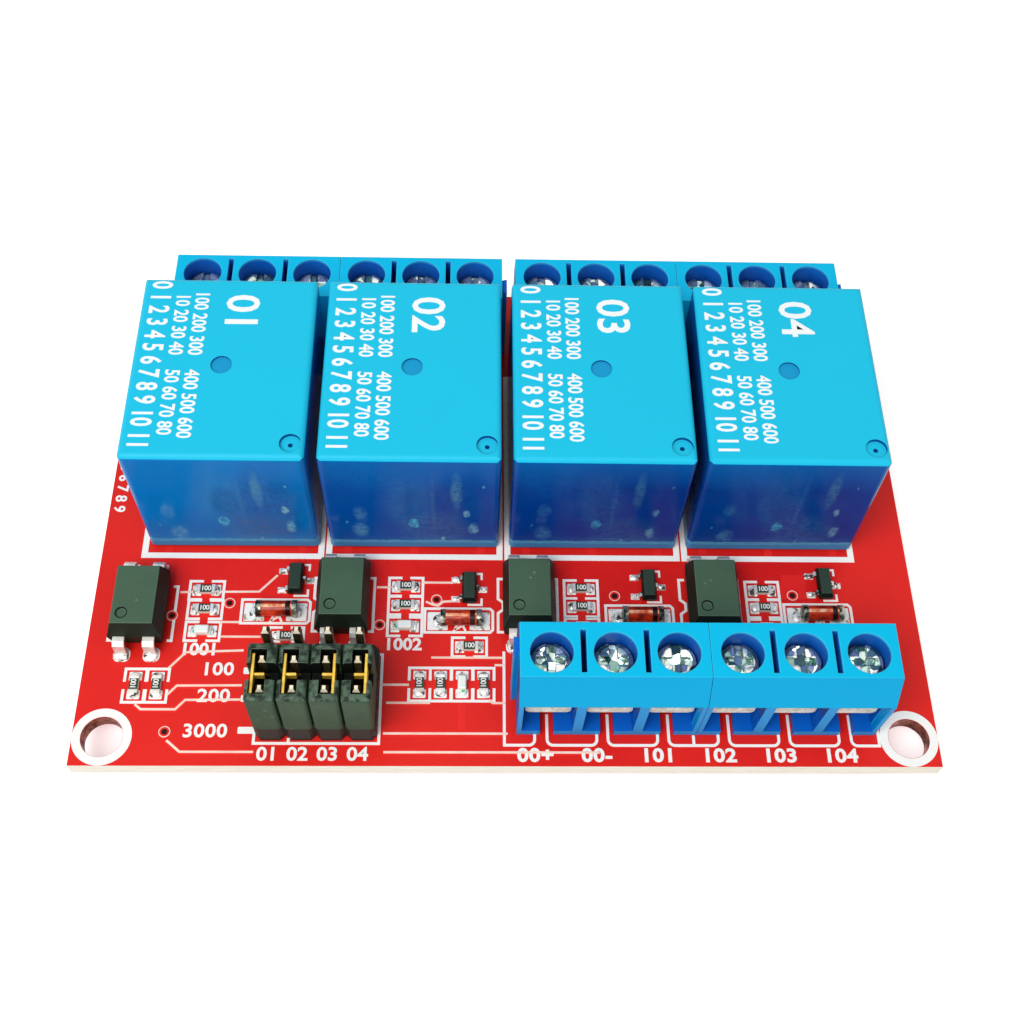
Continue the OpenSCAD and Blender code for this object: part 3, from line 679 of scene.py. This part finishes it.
def board_face(at, normal, box):
    """Faces up or down, sawn edge, wall of a hole."""
    if abs(normal.z) > 0.5:
        return 0
    return 1 if inset(at, box) < 0.01 else 2


def relay_face(at, normal, box):
    """Lid, side, moulding mark, wall of a mark."""
    c = middle(box)
    depth = box[1].z - at.z
    mark_radius, mark_depth, corner_mark_depth, corner_mark_inset = 0.95, 0.21, 0.36, 0.22
    # faces of a recessed mark take the darker mark materials: painted shade
    if 0.02 < depth < mark_depth and math.hypot(at.x - c.x, at.y - c.y) < mark_radius:
        return 2 if normal.z > 0.5 else 3
    if 0.05 < depth < corner_mark_depth and abs(normal.z) < 0.5 and at.x > c.x and at.y < c.y and (
            min(box[1].x - at.x, at.y - box[0].y) > corner_mark_inset):
        return 3
    edge_depth, edge_foot = 0.18, 0.45
    return 0 if depth < edge_foot and normal.z > 0.3 or depth < edge_depth else 1


def screw_face(at, normal, box):
    """Head and shank, driver slot."""
    c = middle(box)
    rim, slot_depth = 0.12, 1.2
    inside = math.hypot(at.x - c.x, at.y - c.y) < (box[1].x - box[0].x) / 2 - rim
    return 1 if inside and 0.02 < box[1].z - at.z < slot_depth else 0


def block_face(at, normal, box):
    """Top, slope, outer wall, inside of a terminal moulding."""
    # the top, slope and wall materials are one plastic painted lighter or darker by how the face turns:
    # painted light and shade
    wall = 0.4
    if normal.z > 0.9 and at.z > box[1].z - 0.05:
        return 0
    if 0.2 < normal.z < 0.9:
        return 1
    return 2 if inset(at, box) < wall and abs(normal.z) < 0.5 else 3


def chip_face(at, normal, box):
    """Tinned ends, glazed top, ceramic sides."""
    along, cap = (1 if upright(box) else 0), 0.31
    if min(at[along] - box[0][along], box[1][along] - at[along]) < cap:
        return 0
    return 1 if normal.z > 0.5 else 2


def led_face(at, normal, box):
    """Tinned ends, lens, ceramic sides."""
    body = 0.31
    if at.z > box[0].z + body:
        return 1
    return 2 if chip_face(at, normal, box) else 0


def diode_face(at, normal, box):
    """Glass, end caps, painted highlight along the top of the glass."""
    cap = 0.455
    if min(at.x - box[0].x, box[1].x - at.x) < cap:
        return 1
    return 2 if normal.z > 0.95 and normal.y < 0.1 else 0


def opto_face(at, normal, box):
    """Top, sides, wall of the round mark in the top."""
    mark_depth = 0.25
    if normal.z > 0.9:
        return 0
    return 2 if abs(normal.z) < 0.3 and at.z > box[1].z - mark_depth else 1


def transistor_face(at, normal, box):
    """Top, leads, sides."""
    half_body = 0.7
    if abs(at.x - middle(box).x) > half_body:
        return 1
    return 0 if normal.z > 0.9 else 2


def pin_face(at, normal, box):
    """Side, tip."""
    tip = 0.35
    return 1 if at.z > box[1].z - tip and (normal.z > 0.9 or normal.z > 0.3 and normal.y < -0.2) else 0


def jumper_face(at, normal, box):
    """Cap sides, clip, cap top, clip inside the cap, inner cap walls."""
    clip_width, clip_mouth, wall, top = 1.8, 0.75, 0.12, 0.3
    if box[1].x - box[0].x < clip_width:
        return 1 if at.z > box[1].z - clip_mouth and normal.z > -0.3 else 3
    if inset(at, box) < wall and -0.05 < normal.z < 0.5:
        return 0
    return 2 if normal.z > 0.3 and at.z > box[1].z - top else 4


for n in range(1, 5):
    dress(f"relay_{n}", [RELAY_TOP, RELAY_SIDES[n - 1], RELAY_DIMPLE, RELAY_DIMPLE_WALL], relay_face)
    dress(f"jumper_{n}", [JUMPER, CLIP, JUMPER_TOP, CLIP_DEEP, JUMPER_DEEP], jumper_face)
for row in ("front", "rear_left", "rear_right"):
    dress(f"{row}_terminal_housings", [BLOCK_TOP, BLOCK_SLOPE, BLOCK_WALL, BLOCK_DEEP], block_face)
for name in cad_nodes:
    if "_screw_" in name:
        dress(name, [STEEL, SLOT_STEEL], screw_face)
    if "_clamp_" in name:
        dress(name, [CLAMP])
for name in ("relay_pins", "terminal_contacts", "optocoupler_leads"):
    dress(name, [TIN])
dress("circuit_board", [MASK, LAMINATE, PLATED_HOLE], board_face)
dress("header_base", [HEADER])
dress("header_pins", [PIN_SIDE, PIN_TIP], pin_face)
dress("optocouplers", [PACKAGE_TOP, PACKAGE_SIDE, PACKAGE_MARK], opto_face)
dress("transistors", [TRANSISTOR, LEAD_TIN, TRANSISTOR_SIDE], transistor_face)
dress("diodes", [DIODE_GLASS, DIODE_CAP, DIODE_HIGHLIGHT], diode_face)
dress("chip_resistors", [TIN, CHIP_TOP, CHIP_BODY], chip_face)
dress("indicator_leds", [LED_END, LED_LENS, CHIP_BODY], led_face)
dress("solder_joints", [SOLDER])

# ---------- board print ----------

LINE = 0.24
THIN = 0.2
RELAY_LINE = 0.55
NUMBER = 1.15
# the diodes lie a little to the right of the middle of their pads
PAD_SHIFT = -0.2
# the round mark on an optocoupler, from the front left corner of its case
OPTO_MARK = (1.37, 1.5)
MOUNT_INSET = 2.5
MOUNTS = [(x, y) for x in (MOUNT_INSET, BOARD_W - MOUNT_INSET) for y in (MOUNT_INSET, BOARD_D - MOUNT_INSET)]
MOUNT_RADII = (2.5, 1.78)
# crossing lines differ a little in thickness, so that no two lie in one plane
THICK = itertools.cycle(0.026 + 0.002 * k for k in range(7))


def from_left(node):
    return sorted(solids(node)[0], key=lambda box: box[0].x)


CHIPS = solids("chip_resistors")[0]
LEDS = solids("indicator_leds")[0]
DIODES = from_left("diodes")
OPTOS = from_left("optocouplers")
TRANSISTORS = from_left("transistors")
RELAYS = [solids(f"relay_{n}")[0][0] for n in range(1, 5)]
HEADER_BOX = solids("header_base")[0][0]


def printed(bm, points, width=LINE, closed=False):
    ribbon(bm, points, width, 0, next(THICK), closed)


def shifted(centre, points):
    return [(centre.x + x, centre.y + y) for x, y in points]


def arc_points(x, y, radius, start, end, steps=6):
    angles = [math.radians(start + (end - start) * i / steps) for i in range(steps + 1)]
    return [(x + radius * math.cos(a), y + radius * math.sin(a)) for a in angles]


def print_chips(bm):
    """Two facing brackets round each chip, open along the middle of its long sides."""
    for box in CHIPS + LEDS:
        half_w, half_d, half_gap = 1.525 if upright(box) else 1.5, 0.9, 0.35
        for s in (-1, 1):
            shape = [(s * x, y) for x, y in ((half_gap, half_d), (half_w, half_d), (half_w, -half_d),
                                             (half_gap, -half_d))]
            printed(bm, shifted(middle(box), [(y, x) for x, y in shape] if upright(box) else shape))


def print_diodes(bm):
    """A frame with two cut corners round each diode, and the small sign under it."""
    half_w, half_d, cut = 3.0, 1.15, 0.25
    frame_line = [(-half_w, -half_d), (half_w - cut, -half_d), (half_w, cut - half_d), (half_w, half_d - cut),
                  (half_w - cut, half_d), (-half_w, half_d)]
    sign = ([(-0.55, -0.85), (-0.3, -0.2), (0.1, -0.45), (-0.55, -0.85), (-0.65, -1.0)],
            [(0.05, -0.2), (0.4, -0.95)])
    for box in DIODES:
        c = middle(box)
        printed(bm, shifted(c + Vector((PAD_SHIFT, 0.06, 0)), frame_line), closed=True)
        for line in sign:
            printed(bm, shifted(c, line), THIN)


def print_optos(bm):
    """Side lines of each optocoupler, with a notch on the left."""
    left, low, high, notch, deep = -2.68, -2.75, 2.5, -0.2, -2.23
    notched = [(left + 0.5, high), (left, high), (left, notch + 0.7), (deep, notch + 0.35),
               (deep, notch - 0.35), (left, notch - 0.7), (left, low), (left + 0.5, low)]
    for box in OPTOS:
        right = 2.8 if box is OPTOS[0] else 2.6
        printed(bm, shifted(middle(box), notched))
        plain = [(right - 0.4, high), (right, high), (right, low), (right - 0.4, low)]
        printed(bm, shifted(middle(box), plain))


def print_transistors(bm):
    for box in TRANSISTORS:
        for corner in ([(0.62, 1.6), (1.1, 1.6), (1.1, 1.0)], [(-0.15, -1.5), (1.1, -1.5), (1.1, -0.85)]):
            printed(bm, shifted(middle(box), corner), THIN)


def print_relays(bm):
    """A frame line round each relay; neighbouring frames make one broad strip between them."""
    for i, box in enumerate(RELAYS):
        c = middle(box)
        left, right = c.x - (8.1 if i == 0 else 7.72), c.x + (7.6 if i == 3 else 7.72)
        front, back = box[0].y - 0.9, box[1].y + 0.2
        printed(bm, [(left, front), (right, front), (right, back), (left, back)], RELAY_LINE, closed=True)


def print_header(bm):
    """A frame round the header, with a dividing line and a tick for each row of pins."""
    c = middle(HEADER_BOX)
    left, right, low, high = c.x - 5.25, c.x + 5.2, 1.95, 10.05
    divide = left + 2.9
    printed(bm, [(left, low), (right, low), (right, high), (left, high)], closed=True)
    printed(bm, [(divide, low), (divide, HEADER_BOX[0].y + 0.2)])
    for y in (8.5, 5.95, 3.1):
        slab(bm, (left - 0.75, y, 0), (1.3, 0.6, next(THICK)), 0.08)


def print_terminals(bm):
    """U lines round the feet of the front mouldings, one between each two ways, and a number for each way."""
    boxes = solids("front_terminal_housings")[0]
    start, end = min(low.x for low, high in boxes), max(high.x for low, high in boxes)
    pitch = (end - start) / 6
    base, inside, outside, r, half = 1.84, 4.6, 10.4, 0.5, 2.1
    for k in range(1, 6):
        left, right = start + k * pitch - half, start + k * pitch + half
        printed(bm, [(left, inside)] + arc_points(left + r, base + r, r, 180, 270)
                + arc_points(right - r, base + r, r, 270, 360) + [(right, inside)])
    printed(bm, [(start + 3 * pitch, base), (start + 3 * pitch, base + 0.9)])
    left, right = start - 0.55, end + 0.35
    gap = half + 1.05
    inner_left, inner_right = start + pitch - gap, end - pitch + gap
    printed(bm, [(left, outside), (left, base)] + arc_points(inner_left - r, base + r, r, 270, 360)
            + [(inner_left, inside)])
    printed(bm, [(inner_right, inside)] + arc_points(inner_right + r, base + r, r, 180, 270)
            + [(right, base), (right, outside)])
    for k, mark in enumerate(("00+", "00-", "101", "102", "103", "104")):
        place = (start + (k + 0.4) * pitch, 0.92, 0)
        digits(bm, mark, place, NUMBER, weight=0.055, width=1.15, spacing=1.05)


def print_marks(bm):
    """Numbers of the jumper columns, the lamps and the jumper rows, and a row along the left edge."""
    for k in range(4):
        digits(bm, f"{k + 1:02d}", (16.35 + 2.5 * k, 0.98, 0), NUMBER, weight=0.04, width=1.1)
    for k, box in enumerate(box for box in from_left("indicator_leds") if not upright(box)):
        c = middle(box)
        digits(bm, f"{1001 + k}", (c.x - 0.1, c.y - 1.75, 0), 1.1, weight=0.05, width=1.05)
    for y, mark, x in ((8.6, "100", 11.5), (6.15, "200", 11.4), (3.0, "3000", 11.0)):
        digits(bm, mark, (x, y, 0), NUMBER, weight=0.04, width=1.1, spacing=1.05)
    digits(bm, "0 1 2 3 4 5 6 7 8 9", (0.85, 29.5, 0), 1.0, turn=-90, weight=0.03)


def print_mount_rings(bm):
    for x, y in MOUNTS:
        ring(bm, (x, y, 0), *MOUNT_RADII, next(THICK))


def make_board_print():
    bm = bmesh.new()
    for draw in (print_chips, print_diodes, print_optos, print_transistors, print_relays, print_header,
                 print_terminals, print_marks, print_mount_rings):
        draw(bm)
    new_piece("board_print", bm, PRINT)


# ---------- copper under the mask ----------

# the paths of the tracks, the corners of the broad areas and the middles of the vias
TRACKS = [
    [(7.45, 16.0), (14.4, 16.1), (15.9, 17.75)],
    [(11.2, 13.1), (12.9, 13.1)],
    [(11.4, 11.7), (14.9, 11.7)],
    [(7.3, 8.7), (8.6, 10.2), (13.55, 10.4)],
    [(7.5, 6.3), (8.2, 7.1), (13.7, 7.15)],
    [(4.85, 5.4), (5.4, 4.95), (8.3, 4.95), (9.05, 5.8), (13.8, 5.85)],
    [(7.9, 2.2), (9.1, 1.2), (15.2, 1.2)],
    [(28.85, 17.1), (31.6, 17.1)],
    [(24.8, 16.6), (26.1, 16.6)],
    [(29.8, 9.8), (36.1, 9.8)],
    [(25.6, 7.25), (27.95, 7.25)],
    [(26.05, 5.6), (29.8, 5.6)],
    [(25.9, 2.85), (36.4, 2.85)],
    [(26, 1.2), (44.1, 1.2)],
    [(29.2, 15.2), (29.85, 14.9), (30.3, 14.8), (30.75, 15.2), (31.5, 15.25)],
    [(35.3, 9.1), (36.2, 9.1)],
    [(34.8, 5.9), (35.15, 5.6), (36.2, 5.6)],
]
POURS = [
    [(61.3, 18.1), (63.5, 18.1), (63.4, 15.65), (61.0, 15.65)],
    [(32.2, 5.8), (32.85, 5.8), (32.85, 3.2), (32.2, 3.2)],
]
VIAS = [(11.9, 14.95), (7.0, 13.7), (7.65, 2.95), (30.15, 15.4), (25.2, 12.9), (46.05, 15.85), (62.1, 16.0)]
# a track under the mask: its width and height, and those of the pale sheen along its middle
TRACK = (0.5, 0.02)
SHEEN = (0.2, 0.02)


def make_tracks():
    """Thin tracks with a pale sheen on top, and the covered copper in front of the relays."""
    copper, sheen = bmesh.new(), bmesh.new()
    for path in TRACKS:
        ribbon(sheen, path, SHEEN[0], TRACK[1], SHEEN[1])
        ribbon(copper, path, TRACK[0], 0, TRACK[1])
    for corners in POURS:
        face = copper.faces.new([copper.verts.new((x, y, 0)) for x, y in corners])
        raise_faces(copper, [face], TRACK[1])
    for box in RELAYS:
        for x in (-6, 0, 6):
            slab(copper, (middle(box).x + x, box[0].y + 0.4, 0), (0.7, 3.2, TRACK[1]))
    new_piece("track_edges", sheen, TRACK_SHEEN)
    new_piece("copper_tracks", copper, MASK_COPPER, slot="board_red")


def make_vias():
    """Each via shows on both faces: a pale rim painted as a highlight, a ring of covered copper and a dark
    disc painted as the shade in the hole.
    """
    rims, rings, holes = bmesh.new(), bmesh.new(), bmesh.new()
    layers = ((rims, 0.5, 0.42, 0.05), (rings, 0.43, 0.26, 0.046), (holes, 0.28, 0, 0.042))
    for x, y in VIAS:
        for above in (True, False):
            for bm, outer, inner, height in layers:
                place = (x, y, 0 if above else -BOARD_T - height)
                if inner:
                    ring(bm, place, outer, inner, height, 24)
                else:
                    disc(bm, place, outer, height)
    new_piece("via_rims", rims, TRACK_SHEEN)
    new_piece("via_rings", rings, MASK_COPPER, slot="board_red")
    new_piece("via_holes", holes, HOLE_DARK)


def make_underside():
    """Pads round the soldered tails, wide tracks from the relays to the rear terminals, thin ones forward."""
    joints = [middle(b) for b in solids("solder_joints")[0]]
    thick = itertools.cycle(0.02 + 0.002 * k for k in range(7))
    pads, tracks, edges = bmesh.new(), bmesh.new(), bmesh.new()
    power, signal, edge = 2.2, 0.5, 0.1
    pad_height = 0.045

    def track(points, width):
        height = next(thick)
        ribbon(tracks, points, width, -BOARD_T - height, height)
        # a pale line along each side of the track: a painted highlight on its edges
        for s in (-1, 1):
            beside = [(x + s * (width - edge) / 2, y) for x, y in points]
            ribbon(edges, beside, edge, -BOARD_T - height - 0.006, 0.016)

    def pad(x, y, radius):
        disc(pads, (x, y, -BOARD_T - pad_height), radius, pad_height)

    for at in joints:
        pad(at.x, at.y, 1.0 if at.y > 15 else 0.9)
    for box in RELAYS:
        own = [j for j in joints if box[0].x < j.x < box[1].x and box[0].y < j.y < box[1].y]
        own.sort(key=lambda j: (round(j.y), j.x))
        ways = sorted((j for j in joints if j.y > box[1].y), key=lambda j: abs(j.x - middle(box).x))[:3]
        ways.sort(key=lambda j: j.x)
        left_coil, common, right_coil = sorted(own[:3], key=lambda j: j.x)
        for start, end in zip((own[3], common, own[4]), ways):
            track([(start.x, start.y), (start.x, end.y - 3.2), (end.x, end.y - 2.2), (end.x, end.y)], power)
        for start, reach in ((left_coil, 1.5), (right_coil, -1.5)):
            x = start.x + reach
            track([(start.x, start.y), (start.x, start.y - 3.5), (x, start.y - 5.0), (x, 14.5)], signal)
            pad(x, 14.4, 0.45)
    front = sorted((j for j in joints if j.y < 8 and j.x > 30), key=lambda j: j.x)
    for k, at in enumerate(front):
        bend, end, width = at.y + 4.0 + 0.8 * k, at.y + 7.5 + 0.8 * k, 1.6 if k < 2 else signal
        track([(at.x, at.y), (at.x, bend), (at.x - 3.5, end)], width)
    for x, y in MOUNTS:
        ring(tracks, (x, y, -BOARD_T - 0.03), *MOUNT_RADII, 0.03)
    new_piece("underside_pads", pads, PADS, slot="tinned_lead")
    new_piece("underside_tracks", tracks, MASK_COPPER, slot="board_red")
    new_piece("underside_track_edges", edges, TRACK_SHEEN)


# ---------- pads and solder on the top face ----------

PAD_HEIGHT = 0.035


def ends(box, out):
    """Places just past the two ends of a part along its longer side, and the turn of a pad there."""
    c = middle(box)
    half = (box[1] - box[0]) / 2
    if upright(box):
        return [(Vector((c.x, c.y + s * (half.y + out), 0)), 90) for s in (-1, 1)]
    return [(Vector((c.x + s * (half.x + out), c.y, 0)), 0) for s in (-1, 1)]


def make_top_solder():
    """Pads with a drop of solder at every surface lead."""
    pads, drops = bmesh.new(), bmesh.new()
    shake = random.Random(7)

    def joint(place, turn, pad_size, drop_size, corner=0.08):
        slab(pads, place, (*pad_size, PAD_HEIGHT), corner, segments=4, turn=turn)
        near = 1 + shake.uniform(-0.1, 0.1)
        nudge = Vector((shake.uniform(-0.05, 0.05), shake.uniform(-0.05, 0.05), PAD_HEIGHT * 0.9))
        dome(drops, place + nudge, (drop_size[0] * near, drop_size[1] / near, drop_size[2] * near), turn)

    for box in CHIPS + LEDS:
        drop = (0.5, 0.85, 0.16) if box in LEDS else (0.7, 0.95, 0.26)
        for place, turn in ends(box, 0.05):
            joint(place, turn, (0.8, 1.1), drop)
    for boxes, spots in (
            (DIODES, [(x + PAD_SHIFT, 0, (1.8, 1.75), (0.9, 1.2, 0.16), 0.08) for x in (-1.86, 1.86)]),
            (OPTOS, [spot for x in (-1.27, 1.27) for spot in (
                (x, -4.1, (1.45, 1.35), (1.4, 1.3, 0.4), 0.5), (x, 3.8, (1.1, 0.9), (1.0, 0.8, 0.3), 0.3))]),
            (TRANSISTORS, [(x, y, (0.8, 0.6), (0.8, 0.6, 0.2), 0.08)
                           for x, y in ((-1.2, -0.95), (-1.2, 0.95), (1.2, 0))])):
        for box in boxes:
            c = middle(box)
            for x, y, pad_size, drop_size, corner in spots:
                joint(Vector((c.x + x, c.y + y, 0)), 0, pad_size, drop_size, corner)
    new_piece("surface_pads", pads, PADS, slot="tinned_lead")
    new_piece("surface_solder", drops, SOLDER, slot="solder", smooth=True)


# ---------- marks on the parts ----------


def make_part_marks():
    """Numbers on the chips, the dots of the lamps, the diodes' bands and the rings on the optocouplers."""
    numbers, dots, bands, rings = (bmesh.new() for _ in range(4))
    for box in CHIPS:
        c = middle(box)
        place = (c.x, c.y, box[1].z - 0.035)
        digits(numbers, "100", place, 0.46, turn=90 if upright(box) else 0, weight=0.012, spacing=0.9)
    for box in LEDS:
        c = middle(box)
        x, y = (0.1, -0.68) if upright(box) else (-0.68, -0.12)
        disc(dots, (c.x + x, c.y + y, box[0].z + 0.28), 0.15, 0.06, 12)
    for box in DIODES:
        c = middle(box)
        # the band lies inside the glass, whose radius is half the diode's height
        radius = (box[1].z - box[0].z) / 2 - 0.045
        place = Matrix.Translation((c.x + 1.0, c.y, c.z)) @ Matrix.Rotation(math.pi / 2, 4, "Y")
        cylinder(bands, place, radius, 0.44, 32)
    for box in OPTOS:
        place = (box[0].x + OPTO_MARK[0], box[0].y + OPTO_MARK[1], box[1].z - 0.005)
        ring(rings, place, 0.53, 0.452, 0.015, 32)
    new_piece("resistor_marks", numbers, PRINT)
    new_piece("lamp_marks", dots, LED_MARK)
    new_piece("diode_bands", bands, DIODE_BAND, slot="diode_glass")
    new_piece("package_marks", rings, PACKAGE_MARK)


def make_relay_print():
    """Rows of plain numbers along the left of each relay top, and its channel number."""
    bm = bmesh.new()
    rows = ((1.55, 1.7, "0 1 2 3 4 5 6 7 8 9 10 11", 0.055, 0.72),
            (3.55, 1.2, "10 20 30 40    50 60 70 80", 0.035, 0.8),
            (5.2, 1.2, "100 200 300    400 500 600", 0.035, 0.8))
    how = {"turn": -90, "thick": 0.02}
    for n, box in enumerate(RELAYS):
        for x, height, text, weight, width in rows:
            digits(bm, text, (box[0].x + x, 30.2, box[1].z), height, weight=weight, width=width, **how)
        digits(bm, f"{n + 1:02d}", (middle(box).x + 1.1, 35.6, box[1].z), 2.8, weight=0.06, **how)
    new_piece("relay_print", bm, RELAY_PRINT)


make_board_print()
make_tracks()
make_vias()
make_underside()
make_top_solder()
make_part_marks()
make_relay_print()

# ---------- floor, light and camera ----------


def seen_white(tree):
    """1 for what the camera, a reflection or a pane sees directly."""
    path = shader_node(tree, "LightPath").outputs
    first = calc(tree, "MAXIMUM", path["Is Camera Ray"], path["Is Glossy Ray"])
    return calc(tree, "MAXIMUM", first, path["Is Transmission Ray"])


def make_floor():
    """A pale floor that glows a little more farther off, where it meets the white background."""
    bm = bmesh.new()
    bmesh.ops.create_grid(bm, x_segments=1, y_segments=1, size=3)
    mesh = bpy.data.meshes.new("floor")
    bm.to_mesh(mesh)
    bm.free()
    floor = bpy.data.objects.new("floor", mesh)
    bpy.context.scene.collection.objects.link(floor)
    made, tree, shader, place = material("pale floor", Roughness=0.9, Specular_IOR_Level=0.0,
                                         Base_Color=(0.85, 0.85, 0.85, 1), Emission_Color=(1, 1, 1, 1))
    away = vector_calc(tree, "LENGTH", place, output="Value")
    glow = calc(tree, "MULTIPLY", seen_white(tree), fit(tree, away, 0.15, 0.7, 0.45, 0.64))
    tree.links.new(glow, shader.inputs["Emission Strength"])
    mesh.materials.append(made)


def make_world():
    """White where it is seen, dimmer as light on the parts."""
    world = bpy.data.worlds.new("studio")
    bpy.context.scene.world = world
    world.use_nodes = True
    tree = world.node_tree
    back = tree.nodes["Background"]
    back.inputs["Color"].default_value = (1, 1, 1, 1)
    tree.links.new(fit(tree, seen_white(tree), 0.0, 1.0, 0.45, 1.0), back.inputs["Strength"])


def make_lamp(name, place, target, size, power):
    data = bpy.data.lights.new(name, "AREA")
    data.shape = "RECTANGLE"
    data.size, data.size_y = size
    data.energy = power
    lamp = bpy.data.objects.new(name, data)
    lamp.location = place
    lamp.rotation_euler = (Vector(target) - Vector(place)).to_track_quat("-Z", "Y").to_euler()
    bpy.context.scene.collection.objects.link(lamp)


def make_camera():
    data = bpy.data.cameras.new("camera")
    data.sensor_width = 36
    data.lens = 47.4
    data.shift_x = -0.00198
    data.shift_y = -0.02245
    data.clip_start = 0.001
    data.clip_end = 10
    camera = bpy.data.objects.new("camera", data)
    camera.location = (-3.34 * MM, -63.37 * MM, 111.52 * MM)
    camera.rotation_euler = Euler([math.radians(a) for a in (31.2026, -1.7929, -0.5393)])
    bpy.context.scene.collection.objects.link(camera)
    bpy.context.scene.camera = camera


make_floor()
make_world()
make_lamp("softbox", (-0.15, -0.22, 0.42), (0, 0, 0), (0.30, 0.30), 1.8)
make_camera()
bpy.context.scene.view_settings.view_transform = "Standard"
